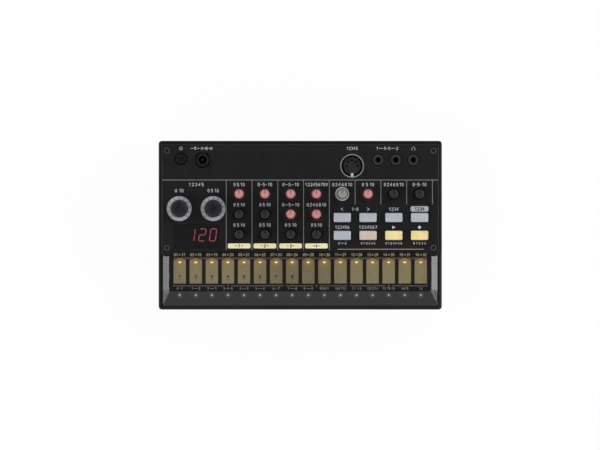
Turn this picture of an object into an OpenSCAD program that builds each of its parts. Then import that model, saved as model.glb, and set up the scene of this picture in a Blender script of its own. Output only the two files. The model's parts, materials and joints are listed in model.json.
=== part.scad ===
// A compact desktop drum machine: a wedge-shaped case with a sloping control panel, a smoked cover over
// sixteen touch pads, turned knobs that are the shafts of their own potentiometers, short-travel buttons,
// sockets on the top, a loudspeaker and a bay for six cells in the base.
//
// Millimetres and degrees. X points right, Y to the rear, Z up, and the origin lies under the middle of
// the body at the level of the table. What stands on the sloping deck is laid out in the deck's own
// frame: u to the right, v up the slope to the rear and w out of the panel, whose face is w = 0.

/* [Body] */
// Width of the case
body_w = 193; // [188:1:215]
// Depth of the case, measured along the sloping deck
body_d = 115; // [110:1:135]
// Slope of the deck down towards the front
deck_tilt = 4; // [2:0.5:7]
// Thickness of the side walls
wall = 2; // [1.5:0.1:2.6]
// Thickness of the base
base_t = 2.4; // [2:0.1:3]
// Plan radius of the case corners
corner_r = 2.2; // [1.2:0.1:4]
// Depth of the joint between the two case halves below the panel's face
seam_depth = 16; // [14:0.5:18]
// Width of the shadow groove along that joint
seam_groove = 0.5; // [0.3:0.1:0.9]
// Height of the front wall's lower edge, where the underside starts to rake back
front_edge_h = 9; // [7:0.5:10]
// How far the underside is raked back at the front
front_rake = 6; // [3:0.5:9]
// Height and length of the bevel along the lower rear edge
rear_bevel = 3.5; // [1:0.5:5]
// Height of the feet
foot_h = 2; // [1.2:0.1:4]
// Radius of the feet
foot_r = 5.75; // [4.5:0.25:7]
// Depth of the recess that each foot is glued into
foot_seat = 0.6; // [0.3:0.1:1]

/* [Rim and flange] */
// Width of the case rim that shows beside the panel
rim_w = 2; // [1.6:0.1:3]
// Width of the case rim behind the panel
rim_rear = 2.1; // [1.6:0.1:3]
// Depth of the rim's top below the panel's face
rim_depth = 3.2; // [2.4:0.1:3.6]
// Bevel along the rim's outer edge
rim_bevel = 0.8; // [0.3:0.1:1.2]
// Depth of the flange that carries panel and cover
flange_depth = 4.2; // [3.8:0.1:5]
// Thickness of that flange
flange_t = 1.7; // [1.4:0.1:2.2]
// Width of that flange, from the case's outer face
flange_w = 5.5; // [4.8:0.1:6.5]

/* [Control panel] */
// Thickness of the panel plate
panel_t = 1.8; // [1.4:0.1:2.2]
// Thickness of the skirt under the panel's sides and rear
skirt_t = 1.6; // [1.2:0.1:2]
// Bevel along the panel's sides and rear
panel_bevel = 0.6; // [0.2:0.1:1]
// Share of the body's depth that the panel takes, from its rear edge to its straight front edge
panel_share = 0.6409; // [0.63:0.0001:0.66]
// Radius of the round ears about the two front panel screws
ear_r = 5.6; // [5:0.1:6.5]
// Distance of the panel screws from the panel's sides
screw_inset_u = 3.7; // [3.4:0.1:4.4]
// Distance of the rear panel screws from the panel's rear edge
screw_inset_rear = 4.7; // [4.2:0.1:6]
// Distance of the front panel screws behind the panel's front edge
screw_inset_front = 2.9; // [2.4:0.1:3.6]
// Gap between neighbouring fixed pieces
fit_gap = 0.2; // [0.1:0.05:0.3]
// Radius of the posts under the panel that carry the main board
post_r = 2.2; // [1.8:0.1:2.6]

/* [Knobs] */
// Width of the panel's left section, with the two large knobs and the display
section_w = 44.13; // [43:0.1:46]
// Width of the plain strip right of the eight control columns
side_strip = 4.55; // [3:0.1:6]
// Place of the first row of small knobs, as a share of the panel's depth from its rear edge
knob_row_share = 0.4627; // [0.45:0.0001:0.475]
// Distance between rows of small knobs, as a share of the panel's depth
knob_pitch_share = 0.1866; // [0.17:0.0001:0.192]
// Radius of a small knob's grip
knob_r = 3.1; // [2.9:0.05:3.3]
// Radius of a small knob's flared foot
knob_foot_r = 3.4; // [3.2:0.05:3.7]
// Height of a small knob above the panel
knob_h = 9.4; // [7:0.1:12]
// Radius of the round holes for the small knobs
knob_hole_r = 4; // [3.8:0.05:4.4]
// Number of grip flutes on a small knob
knob_flutes = 18; // [12:1:24]
// Depth of the grip flutes
flute_depth = 0.28; // [0.15:0.01:0.4]
// Radius of a small knob's shaft inside its potentiometer
shaft_r = 2.8; // [2.4:0.05:2.95]
// Radius of a large knob's cap
cap_r = 5.85; // [5:0.05:7]
// Height of a large knob's cap above the panel
cap_h = 9.9; // [8:0.1:12]
// Gap between a large cap and the panel
cap_gap = 0.6; // [0.4:0.1:1]
// Number of grip flutes on a large cap
cap_flutes = 26; // [16:1:32]
// Distance between the centres of the two large knobs
cap_pitch = 23.1; // [21:0.1:25]
// Place of the large knobs, as a share of the panel's depth from its rear edge
cap_row_share = 0.5984; // [0.585:0.0001:0.61]
// Radius of a large knob's shaft
cap_shaft_r = 3; // [2.6:0.05:3]
// Running gap round a turning shaft in its potentiometer
pot_bore_gap = 0.1; // [0.06:0.01:0.2]

/* [Buttons] */
// Width of a push button
button_w = 11.6; // [10:0.1:12.6]
// Depth of a push button
button_d = 6.1; // [5:0.1:7]
// Height of a push button above the panel
button_h = 1.6; // [1:0.1:3]
// Corner radius of a push button
button_r = 0.8; // [0.3:0.1:1.5]
// Place of the first row of buttons, as a share of the panel's depth from its rear edge
button_row_share = 0.6805; // [0.672:0.0001:0.692]
// Distance between the two rows of buttons, as a share of the panel's depth
button_pitch_share = 0.1648; // [0.15:0.0001:0.17]
// Gap between a button and the edge of its opening
button_gap = 0.3; // [0.2:0.05:0.4]
// Travel of a button
button_travel = 0.6; // [0.3:0.1:0.8]
// Width of the hidden flange that keeps a button in the panel
keeper_w = 0.9; // [0.6:0.1:1.2]
// Radius of the round power button
power_r = 3.6; // [3:0.1:4.2]
// Radius of the power button's opening
power_hole_r = 4.3; // [3.5:0.1:4.8]
// Height of the power button above the panel
power_h = 1; // [0.6:0.1:2]

/* [Display] */
// Width of the display window
window_w = 30.6; // [29:0.1:32]
// Depth of the display window
window_d = 16.35; // [15:0.05:17]
// Thickness of the window pane
window_t = 0.95; // [0.7:0.05:1.2]
// Width of the ledge that carries the pane
window_ledge = 1; // [0.6:0.1:1.4]
// Place of the window's centre, as a share of the panel's depth from its rear edge
window_row_share = 0.8539; // [0.842:0.0001:0.862]
// Corner radius of the window
window_r = 0.6; // [0.3:0.1:1]

/* [Sockets] */
// Distance of the jacks and of the supply socket from the panel's rear edge
jack_row_rear = 10.9; // [10:0.1:12]
// Bore radius of the jacks
jack_bore_r = 1.8; // [1.7:0.05:1.9]
// Bore depth of the jacks
jack_bore_l = 8.8; // [7:0.1:9]
// Collar radius of the jacks
jack_collar_r = 3.8; // [3:0.1:4.2]
// Pin radius of the supply socket
dc_pin_r = 0.85; // [0.65:0.05:1]
// Cavity radius of the supply socket
dc_cavity_r = 2.75; // [2.4:0.05:3]
// Collar radius of the supply socket
dc_collar_r = 4.7; // [4:0.1:5]
// Outer radius of the round five-pole socket's metal ring
midi_ring_r = 8.1; // [7.9:0.05:8.4]
// Wall of that ring
midi_ring_t = 0.75; // [0.5:0.05:0.9]
// Radius of the socket's insulating core
midi_core_r = 6.1; // [5.8:0.05:6.4]
// Radius of the circle of contact holes
midi_hole_circle_r = 3.7; // [3.3:0.05:4]
// Radius of one contact hole
midi_hole_r = 0.75; // [0.5:0.05:0.9]

/* [Touch cover] */
// Width of the cover's side bevels
cover_side_bevel = 4.2; // [3:0.1:5.5]
// Depth of the cover's front bevel
cover_front_bevel = 9.8; // [8:0.1:11]
// Drop of the cover's bevels
cover_drop = 3.4; // [2.8:0.1:3.6]
// Width of the case rim beside the cover
cover_side_rim = 3; // [2.8:0.1:3.6]
// Depth of the case rim in front of the cover
cover_front_rim = 2.6; // [2.4:0.1:3.4]
// Thickness of the cover
cover_t = 2; // [1.5:0.1:2.2]
// Number of touch pads
pads = 16; // [8:1:16]
// Width of one touch pad
pad_w = 8.4; // [7:0.1:9.5]
// Distance from the panel's front edge to the pads
pad_gap_rear = 3.8; // [3:0.1:5]
// Distance from the pads to the cover's front bevel
pad_gap_front = 5.4; // [4:0.1:7]
// Thickness of the pads
pad_t = 0.12; // [0.06:0.01:0.14]

/* [Boards] */
// Depth of the main board's top below the panel's face
board_depth = 9.5; // [9:0.1:10.5]
// Thickness of the boards
board_t = 1.6; // [1.2:0.1:2]
// Gap between the battery bay's roof and the main board
board_gap = 2.1; // [1.6:0.1:6]
// Gap between the touch cover and the touch board
touch_gap = 0.3; // [0.2:0.05:0.5]

/* [Battery bay] */
// Diameter of a cell
cell_d = 14.2; // [13.5:0.1:14.5]
// Length of a cell, with its button
cell_l = 50.5; // [49:0.1:51]
// Distance between rows of cells
cell_pitch = 15.25; // [15:0.05:16.5]
// Clearance round the cells
cell_gap = 0.4; // [0.25:0.05:0.6]
// Fitted length of the contact springs
spring_l = 8; // [6:0.5:10]
// Thickness of the contact plates
contact_t = 0.5; // [0.3:0.1:0.8]
// Thickness of the bay's walls
bay_wall = 1.6; // [1.2:0.1:2]
// Thickness of the bay's roof
bay_roof_t = 1.4; // [1.2:0.1:2]
// Thickness of the door's outer plate
door_t = 1.1; // [0.8:0.1:1.4]
// Thickness of the stiffening panel inside the door
door_panel_t = 0.9; // [0.6:0.1:1.2]
// Width of the ledge that the door's edge rests against
door_ledge = 1.5; // [1:0.1:2]
// Gap round the door
door_gap = 0.25; // [0.15:0.05:0.35]

/* [Loudspeaker] */
// Radius of the loudspeaker
speaker_r = 20; // [16:0.5:21]
// Radius of the slotted field in the base
grille_r = 15; // [10:0.5:16]
// Width of the slots
slot_w = 1.6; // [1.2:0.1:2.2]
// Distance between slots
slot_pitch = 3.8; // [3.4:0.1:5]

/* [Screws] */
// Head radius of the panel screws
head_r = 2.3; // [2:0.1:2.4]
// Shank radius of all screws
shank_r = 1.05; // [0.9:0.05:1.2]
// Height of the screw heads
head_h = 1.2; // [0.8:0.1:1.6]
// Radius of the screw bosses in the upper case
boss_r = 3; // [2.6:0.1:3.2]

/* [Hidden] */
$fn = 48;
case_colour = [0.13, 0.13, 0.14];
panel_colour = [0.14, 0.14, 0.15];
knob_colour = [0.16, 0.16, 0.17];
lit_colour = [0.87, 0.59, 0.59];
smoke_colour = [0.3, 0.29, 0.28, 0.6];
gold_colour = [0.55, 0.49, 0.37];
board_colour = [0.1, 0.14, 0.12];
metal_colour = [0.75, 0.76, 0.78];
button_colour = [0.75, 0.77, 0.8];
rubber_colour = [0.08, 0.08, 0.08];
arc_steps = 6;
eps = 0.01;

half_w = body_w / 2;
half_d = body_d / 2;

// The deck: its rear seam corner and its front rim corner lie equally far from the middle.
deck_y = -(seam_depth + rim_depth) * sin(deck_tilt) / 2;
front_y = -half_d * cos(deck_tilt) + seam_depth * sin(deck_tilt) + deck_y;
rear_y = half_d * cos(deck_tilt) + seam_depth * sin(deck_tilt) + deck_y;

// Battery bay: three rows of two cells between the contact plates, under a roof.
cell_r = cell_d / 2;
bay_inset_x = 0.0855 * body_w;
bay_inset_rear = 18.3;
bay_l = 2 * contact_t + spring_l + 2 * cell_l;
bay_d = 2 * cell_pitch + cell_d + 2 * cell_gap;
bay_x0 = -half_w + bay_inset_x;
bay_x1 = bay_x0 + bay_l;
bay_y1 = rear_y - bay_inset_rear;
bay_y0 = bay_y1 - bay_d;
door_top = foot_h + door_t + door_panel_t;
cell_z = door_top + cell_gap - 0.1 + cell_r;
bay_roof = cell_z + cell_r + cell_gap;
bay_top = bay_roof + bay_roof_t;

// Height of the deck: the main board clears the bay's front upper edge by board_gap.
board_low = board_depth + board_t;
bay_edge_v = (bay_y0 - bay_wall - deck_y - board_low * sin(deck_tilt)) / cos(deck_tilt);
deck_h = bay_top + board_gap - bay_edge_v * sin(deck_tilt) + board_low * cos(deck_tilt);

// Panel
panel_u = half_w - rim_w;
panel_rear = half_d - rim_rear;
panel_depth = panel_share * body_d;
panel_front = panel_rear - panel_depth;
panel_corner = 1.5;
screw_u = panel_u - screw_inset_u;
panel_screw_at = [for (su = [-1, 1], v = [panel_rear - screw_inset_rear, panel_front + screw_inset_front])
    [su * screw_u, v]];
case_screw_u = half_w - 5.6;
case_screw_at = [for (su = [-1, 1], v = [-half_d + 11.5, half_d - 16]) [su * case_screw_u, v]];
screw_hole_r = shank_r + 0.3;
head_seat = head_h + 0.1;
pilot_r = shank_r + 0.05;
pilot_l = 8;

// Columns of controls, and the lines between them
columns = 8;
column_u0 = -panel_u + section_w;
column_pitch = (2 * panel_u - section_w - side_strip) / columns;
function divider_u(k) = column_u0 + k * column_pitch;
function column_u(k) = column_u0 + (k + 0.5) * column_pitch;
function knob_v(row) = panel_rear - (knob_row_share + row * knob_pitch_share) * panel_depth;
function button_v(row) = panel_rear - (button_row_share + row * button_pitch_share) * panel_depth;
section_u = -panel_u + 23.65;
cap_v = panel_rear - cap_row_share * panel_depth;
cap_at = [for (s = [-1, 1]) [section_u + s * cap_pitch / 2, cap_v]];
// Twelve voice knobs in four columns, then four single knobs on the first row
small_knob_cells = concat([for (c = [0:3], r = [0:2]) [c, r]], [for (c = [4:7]) [c, 0]]);
small_knob_at = [for (k = small_knob_cells) [column_u(k[0]), knob_v(k[1])]];
lit_knob_cells = [[0, 0], [1, 0], [2, 0], [3, 0], [2, 1], [3, 1], [4, 0], [5, 0]];
button_at = [for (c = [4:7], r = [0:1]) [column_u(c), button_v(r)]];
power_at = [-panel_u + 13.3, panel_rear - jack_row_rear + 0.7];
dc_at = [-panel_u + 28, panel_rear - jack_row_rear];
jack_at = [for (inset = [41.5, 29.4, 17.5]) [panel_u - inset, panel_rear - jack_row_rear]];
midi_at = [panel_u - 59.2, panel_rear - jack_row_rear - 4.1];
window_at = [section_u + 0.25, panel_rear - window_row_share * panel_depth];

// Layers under the panel
flange_low = flange_depth + flange_t;
pot_top = panel_t + 1.1;
pot_w = 9.7;
pot_d = 10.8;
shaft_low = board_depth - 1.2;
collar_low = panel_t + 0.6;
keeper_top = panel_t + 0.3;
keeper_low = keeper_top + 1.1;
stem_low = keeper_low + 1.2;
plunger_top = stem_low + button_travel + 0.1;
switch_top = plunger_top + 1;
socket_top = panel_t + 0.7;
jack_body_w = 9;
jack_body_d = 10.4;
shaft_bore_r = cap_shaft_r + pot_bore_gap;

// Touch cover and what lies under it
cover_u = half_w - cover_side_rim;
cover_top_u = cover_u - cover_side_bevel;
cover_front = -half_d + cover_front_rim;
cover_top_front = cover_front + cover_front_bevel;
cover_rear = panel_front - fit_gap;
lip_u = screw_u - ear_r - fit_gap;
lip_reach = 2.5;
lip_root = 1.2;
lip_t = 1.4;
touch_top = cover_t + touch_gap;
touch_low = touch_top + board_t;
touch_u = cover_top_u - 2.8;
touch_rear = panel_front - 1.7;
touch_front = cover_top_front + 1.1;
pad_pitch = 2 * (cover_top_u - 1.7) / pads;
pad_rear = panel_front - pad_gap_rear;
pad_front = cover_top_front + pad_gap_front;
pad_bar = 0.9;
pad_led_v = pad_rear - 3.2;
front_led_v = cover_top_front - 2.5;
led_slot_w = 2.2;
led_slot_d = 1.1;
pipe_r = 0.95;
link_d = 2.6;
function pad_u(k) = (k - (pads - 1) / 2) * pad_pitch;

// Main board
board_u = half_w - 9.5;
board_front = -half_d + 7.5;
board_rear = panel_rear - 5.6;
board_post_at = concat(
    [for (k = [0, 3, 7]) [divider_u(k), panel_rear - 22.4]],
    [for (k = [0, 4, 7]) [divider_u(k), panel_front + 5]]);

// Loudspeaker, feet and door
speaker_at = [(bay_x1 + bay_wall + half_w - wall) / 2, (bay_y0 + bay_y1) / 2];
floor_z = foot_h + base_t;
foot_at = [for (sx = [-1, 1], y = [front_y + 13.4, rear_y - 9.3]) [sx * (half_w - 15.5), y]];
hinge_y = bay_y1 + door_ledge;
vent_w = 8;
tongue_w = 8;
tongue_at = [for (s = [-1, 1]) (bay_x0 + bay_x1) / 2 + s * bay_l * 0.32];
tongue_z = floor_z + 0.2;
tongue_t = 1;
tongue_reach = 2.5;
tongue_root = 1.2;
latch_w = 14;
latch_l = 7;
latch_slot = 1;
scoop_d = 5;

// ---- Helpers ----

// Points of a round arc about c
function arc(c, r, a0, a1, n = arc_steps) =
    [for (k = [0:n]) c + r * [cos(a0 + (a1 - a0) * k / n), sin(a0 + (a1 - a0) * k / n)]];

// A rectangle with round corners, anticlockwise
function rounded(x0, y0, x1, y1, r) = concat(
    arc([x1 - r, y0 + r], r, -90, 0), arc([x1 - r, y1 - r], r, 0, 90),
    arc([x0 + r, y1 - r], r, 90, 180), arc([x0 + r, y0 + r], r, 180, 270));

// The left-hand normal of the line from a to b
function normal(a, b) = let (d = (b - a) / norm(b - a)) [-d[1], d[0]];

// A convex anticlockwise outline moved inwards by t on every side
function inset(p, t) = [for (i = [0:len(p) - 1]) let (
    before = normal(p[(i + len(p) - 1) % len(p)], p[i]),
    after = normal(p[i], p[(i + 1) % len(p)]))
    p[i] + (before + after) * t / (1 + before * after)];

// Moves the deck's frame into place: its face at w = 0, v up the slope
module on_deck() {
    translate([0, deck_y, deck_h]) rotate([deck_tilt, 0, 0]) children();
}

// A box between two corners, with round upright edges where r is given
module slab(x0, y0, x1, y1, z0, z1, r = 0) {
    if (r > 0)
        translate([0, 0, z0]) linear_extrude(z1 - z0) polygon(rounded(x0, y0, x1, y1, r));
    else
        translate([x0, y0, z0]) cube([x1 - x0, y1 - y0, z1 - z0]);
}

// An upright cylinder at the point at, between two heights
module peg(at, r, z0, z1) {
    translate([at[0], at[1], z0]) cylinder(h = z1 - z0, r = r);
}

// A flat slot with round ends, about the origin
module slot(w, d) {
    square([w - d, d], center = true);
    for (s = [-1, 1]) translate([s * (w - d) / 2, 0]) circle(r = d / 2);
}

// A centred box round the point at, between two heights
module block(at, w, d, z0, z1, r = 0) {
    slab(at[0] - w / 2, at[1] - d / 2, at[0] + w / 2, at[1] + d / 2, z0, z1, r);
}

// Extrudes a profile of (x, z) points along Y
module along_y(y0, y1) {
    translate([0, y1, 0]) rotate([90, 0, 0]) linear_extrude(y1 - y0) children();
}

// Extrudes a profile of (y, z) points along X
module along_x(x0, x1) {
    translate([x0, 0, 0]) rotate([90, 0, 90]) linear_extrude(x1 - x0) children();
}

// The (x, z) outline of a block whose two upper edges are bevelled; it overshoots the block itself
function bevel_profile(x0, x1, z0, z1, bevel) = [
    [x0 - 1, z0 - 1], [x1 + 1, z0 - 1], [x1 + 1, z1 - bevel - 1], [x1 - bevel - 1, z1 + 1],
    [x0 + bevel + 1, z1 + 1], [x0 - 1, z1 - bevel - 1]];

// ---- Case ----

module upper_case() {
    color(case_colour) on_deck() difference() {
        union() {
            difference() {
                case_frame();
                slab(-panel_u - fit_gap, -half_d + cover_front_rim - fit_gap, panel_u + fit_gap,
                    panel_rear + fit_gap, -flange_depth, 1, panel_corner);
                slab(-half_w + flange_w, -half_d + flange_w - 0.5, half_w - flange_w,
                    half_d - flange_w + 0.3, -flange_low - 1, 0);
                slab(-half_w + wall, -half_d + wall, half_w - wall, half_d - wall,
                    -seam_depth - 1, -flange_low);
                seam_shadow();
            }
            for (at = panel_screw_at)
                peg(at, boss_r, -flange_depth - pilot_l, -flange_depth);
            for (at = case_screw_at)
                peg(at, boss_r, -seam_depth, -flange_depth);
        }
        for (at = panel_screw_at)
            peg(at, pilot_r, -flange_depth - pilot_l + 1, -flange_depth + 1);
        for (at = case_screw_at)
            peg(at, pilot_r, -seam_depth - 1, -seam_depth + pilot_l);
    }
}

// The upper case's outer form, bevelled along its top
module case_frame() {
    intersection() {
        slab(-half_w, -half_d, half_w, half_d, -seam_depth, -rim_depth, corner_r);
        along_y(-half_d - 1, half_d + 1)
            polygon(bevel_profile(-half_w, half_w, -seam_depth, -rim_depth, rim_bevel));
        along_x(-half_w - 1, half_w + 1)
            polygon(bevel_profile(-half_d, half_d, -seam_depth, -rim_depth, rim_bevel));
    }
}

// The groove that runs round the case along the joint
module seam_shadow() {
    difference() {
        slab(-half_w - 1, -half_d - 1, half_w + 1, half_d + 1, -seam_depth - 1,
            -seam_depth + seam_groove);
        slab(-half_w + seam_groove, -half_d + seam_groove, half_w - seam_groove,
            half_d - seam_groove, -seam_depth - 2, -seam_depth + seam_groove + 1,
            corner_r - seam_groove);
    }
}

// The (y, z) outline of the lower case, from the table side up past the joint
lower_side = [[front_y + front_rake, foot_h], [rear_y - rear_bevel, foot_h],
    [rear_y, foot_h + rear_bevel + 1], [rear_y, deck_h], [front_y, deck_h], [front_y, front_edge_h]];
// The (x, z) outline of the lower case
side_rake = 1;
lower_front = [[-half_w + side_rake + 1.5, foot_h], [half_w - side_rake - 1.5, foot_h],
    [half_w - side_rake, foot_h + 2], [half_w, deck_h - seam_depth - 4], [half_w, deck_h],
    [-half_w, deck_h], [-half_w, deck_h - seam_depth - 4], [-half_w + side_rake, foot_h + 2]];

// The lower case's form, moved inwards by t on its sides and by base on its underside
module lower_form(t, base) {
    intersection() {
        slab(-half_w + t, front_y + t, half_w - t, rear_y - t, foot_h + base, deck_h - 1,
            max(corner_r - t, 0.2));
        along_y(front_y - 1, rear_y + 1) polygon(inset(lower_front, t));
        along_x(-half_w - 1, half_w + 1) polygon(inset(lower_side, t));
    }
}

// Where a screw axis of the deck meets the height z, as its w
function deck_w_at(v, z) = (z - deck_h - v * sin(deck_tilt)) / cos(deck_tilt);

case_head_seat = 4;

module lower_case() {
    color(case_colour) difference() {
        union() {
            difference() {
                lower_form(0, 0);
                lower_form(wall, base_t);
                on_deck() slab(-half_w - 5, -half_d - 5, half_w + 5, half_d + 5,
                    -seam_depth, seam_depth);
            }
            slab(bay_x0 - bay_wall, bay_y0 - bay_wall, bay_x1 + bay_wall, bay_y1 + bay_wall,
                foot_h + base_t / 2, bay_top);
            speaker_wall();
            on_deck() for (at = case_screw_at)
                peg(at, boss_r + 0.9, deck_w_at(at[1], foot_h + base_t / 2), -seam_depth);
        }
        bay_hollow();
        grille_slots();
        on_deck() for (at = case_screw_at) {
            peg(at, screw_hole_r, -deck_h, -seam_depth + 1);
            peg(at, head_r + 0.4, -deck_h - 5, -seam_depth - case_head_seat);
        }
        for (at = foot_at)
            peg(at, foot_r + fit_gap, foot_h - 1, foot_h + foot_seat);
    }
}

// The locating wall round the loudspeaker, with four openings for its terminals and for air
module speaker_wall() {
    translate([speaker_at[0], speaker_at[1], floor_z - 0.5]) difference() {
        cylinder(h = 4.5, r = speaker_r + 0.4 + bay_wall);
        translate([0, 0, -1]) cylinder(h = 7, r = speaker_r + 0.4);
        for (a = [0, 90])
            rotate([0, 0, a + 45]) translate([-speaker_r - 5, -vent_w / 2, 1.2])
                cube([2 * speaker_r + 10, vent_w, 5]);
    }
}

// The slots in front of the loudspeaker's cone, longest in the middle
module grille_slots() {
    rows = floor((grille_r - slot_w / 2) / slot_pitch);
    for (k = [-rows:rows]) {
        reach = sqrt(pow(grille_r, 2) - pow(k * slot_pitch, 2)) - slot_w / 2;
        y = speaker_at[1] + k * slot_pitch;
        slab(speaker_at[0] - reach, y - slot_w / 2, speaker_at[0] + reach, y + slot_w / 2,
            foot_h - 1, floor_z + 1, slot_w / 2 - eps);
    }
}

// Everything that is hollow in the battery bay: the cell space with its two ribs, the door's rebate,
// the passages for the door's tongues and the finger scoop at the latch
module bay_hollow() {
    difference() {
        slab(bay_x0, bay_y0, bay_x1, bay_y1, foot_h - 1, bay_roof);
        for (k = [0.5, 1.5])
            slab(bay_x0 + 15, row_y(k) - 0.4, bay_x1 - 15, row_y(k) + 0.4,
                cell_z + 0.36 * cell_r, bay_roof + 1);
    }
    slab(bay_x0 - door_ledge, bay_y0 - door_ledge, bay_x1 + door_ledge, hinge_y,
        foot_h - 1, foot_h + door_t + 0.1);
    for (x = tongue_at)
        slab(x - tongue_w / 2 - 0.5, bay_y1 - 1, x + tongue_w / 2 + 0.5, hinge_y,
            foot_h + door_t, tongue_z + tongue_t + 1.4);
    for (x = tongue_at)
        slab(x - tongue_w / 2 - 0.5, bay_y1 - 1, x + tongue_w / 2 + 0.5, bay_y1 + bay_wall + 1,
            floor_z, tongue_z + tongue_t + 1.4);
    slab(latch_x() - latch_w / 2 - latch_slot, bay_y0 - door_ledge - scoop_d,
        latch_x() + latch_w / 2 + latch_slot, bay_y0 - door_ledge + 1, foot_h - 1, foot_h + 1, 0.8);
}

function row_y(k) = bay_y0 + cell_gap + cell_r + k * cell_pitch;
function latch_x() = (bay_x0 + bay_x1) / 2;

module battery_door() {
    color(case_colour) difference() {
        union() {
            slab(bay_x0 - door_ledge + door_gap, bay_y0 - door_ledge + door_gap,
                bay_x1 + door_ledge - door_gap, hinge_y - door_gap, foot_h, foot_h + door_t);
            slab(bay_x0 + cell_gap, bay_y0 + cell_gap, bay_x1 - cell_gap, bay_y1 - cell_gap,
                foot_h + door_t - eps, door_top);
            for (x = tongue_at) {
                slab(x - tongue_w / 2, bay_y1 - cell_gap - tongue_root, x + tongue_w / 2,
                    bay_y1 - cell_gap, door_top - 0.5, tongue_z + tongue_t);
                slab(x - tongue_w / 2, bay_y1 - cell_gap - tongue_root, x + tongue_w / 2,
                    hinge_y + tongue_reach, tongue_z, tongue_z + tongue_t);
            }
        }
        for (s = [-1, 1])
            translate([latch_x() + s * (latch_w + latch_slot) / 2, 0, 0])
                slab(-latch_slot / 2, bay_y0 - door_ledge - 1, latch_slot / 2,
                    bay_y0 - door_ledge + latch_l, foot_h - 1, door_top + 1);
        for (k = [0:2])
            slab(latch_x() - latch_w / 2 + 2, bay_y0 + 0.2 + 1.6 * k, latch_x() + latch_w / 2 - 2,
                bay_y0 + 1 + 1.6 * k, foot_h - 1, foot_h + 0.4);
    }
}

module rubber_feet() {
    color(rubber_colour) for (at = foot_at) translate([at[0], at[1], 0]) difference() {
        union() {
            cylinder(h = 0.5, r1 = foot_r - 0.5, r2 = foot_r);
            translate([0, 0, 0.5]) cylinder(h = foot_h + foot_seat - 0.5, r = foot_r);
        }
        translate([0, 0, -1]) cylinder(h = 1.3, r = foot_r * 0.45);
    }
}

// ---- Control panel ----

// The panel's outline: square at the rear, straight in front with a round ear about each screw
function panel_outline() = let (
    c = [screw_u, panel_front + screw_inset_front],
    side = acos(screw_inset_u / ear_r),
    front = asin(screw_inset_front / ear_r),
    left = arc([-c[0], c[1]], ear_r, 180 + side, 360 - front, 10),
    right = arc(c, ear_r, 180 + front, 360 - side, 10))
    concat(left, right,
        arc([panel_u - panel_corner, panel_rear - panel_corner], panel_corner, 0, 90),
        arc([-panel_u + panel_corner, panel_rear - panel_corner], panel_corner, 90, 180));

module control_panel() {
    color(panel_colour) on_deck() difference() {
        union() {
            intersection() {
                translate([0, 0, -panel_t]) linear_extrude(panel_t) polygon(panel_outline());
                along_y(-half_d, half_d)
                    polygon(bevel_profile(-panel_u, panel_u, -panel_t, 0, panel_bevel));
                along_x(-half_w, half_w)
                    polygon(bevel_profile(-half_d, panel_rear, -panel_t, 0, panel_bevel));
            }
            panel_skirt();
            for (at = panel_screw_at)
                peg(at, screw_inset_u - fit_gap, -flange_depth, -panel_t + eps);
            for (at = board_post_at)
                peg(at, post_r, -board_depth, -panel_t + eps);
        }
        panel_openings();
        for (at = panel_screw_at) {
            peg(at, screw_hole_r, -flange_depth - 1, 1);
            peg(at, head_r + 0.4, -head_seat, 1);
        }
        for (at = board_post_at)
            peg(at, pilot_r, -board_depth - 1, -panel_t - 1);
    }
}

// The skirt that stands on the case's flange along the panel's sides and rear
module panel_skirt() {
    translate([0, 0, -flange_depth]) linear_extrude(flange_depth - panel_t + eps) difference() {
        polygon(panel_outline());
        translate([-panel_u + skirt_t, -half_d])
            square([2 * (panel_u - skirt_t), half_d + panel_rear - skirt_t]);
    }
}

// Everything that passes through the panel or is let into it
module panel_openings() {
    for (at = concat(small_knob_at, cap_at))
        peg(at, knob_hole_r, -panel_t - 1, 1);
    for (at = button_at)
        block(at, button_w + 2 * button_gap, button_d + 2 * button_gap, -panel_t - 1, 1,
            button_r + button_gap);
    peg(power_at, power_hole_r, -panel_t - 1, 1);
    peg(dc_at, dc_collar_r + 0.8, -panel_t - 1, 1);
    peg(midi_at, midi_ring_r + 0.15, -panel_t - 1, 1);
    for (at = jack_at)
        peg(at, jack_collar_r + 0.4, -panel_t - 1, 1);
    block(window_at, window_w, window_d, -window_t, 1, window_r);
    block(window_at, window_w - 2 * window_ledge, window_d - 2 * window_ledge, -panel_t - 1, 0);
}

module display_window() {
    color(smoke_colour) on_deck()
        block(window_at, window_w - fit_gap, window_d - fit_gap, -window_t, 0, window_r);
}

// ---- Touch cover ----

// The cover's form, moved inwards by t; low is how deep it reaches and rear where it ends
module cover_form(t, low, rear) {
    across = [[-cover_u, -low], [cover_u, -low], [cover_u, -cover_drop], [cover_top_u, 0],
        [-cover_top_u, 0], [-cover_u, -cover_drop]];
    lengthwise = [[cover_front, -low], [rear, -low], [rear, 0], [cover_top_front, 0],
        [cover_front, -cover_drop]];
    intersection() {
        along_y(-half_d, rear) polygon(inset(across, t));
        along_x(-half_w, half_w) polygon(inset(lengthwise, t));
    }
}

module touch_cover() {
    color(smoke_colour) on_deck() difference() {
        union() {
            difference() {
                cover_form(0, flange_depth, cover_rear);
                cover_form(cover_t, flange_depth + 10, cover_rear + 10);
            }
            slab(-lip_u, cover_rear - lip_root, lip_u, cover_rear + lip_reach,
                -cover_t - lip_t, -cover_t);
            slab(-lip_u, cover_rear - lip_root, lip_u, cover_rear - 0.1, -cover_t - lip_t, -cover_t / 2);
        }
        for (su = [-1, 1])
            peg([su * screw_u, panel_front + screw_inset_front], ear_r + fit_gap + 0.05,
                -flange_depth - 1, 1);
    }
}

module touch_board() {
    color(board_colour) on_deck() difference() {
        slab(-touch_u, touch_front, touch_u, touch_rear, -touch_low, -touch_top);
        for (k = [0:pads - 1])
            translate([pad_u(k), pad_led_v, -touch_low - 1]) linear_extrude(touch_low)
                slot(led_slot_w, led_slot_d);
    }
}

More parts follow.
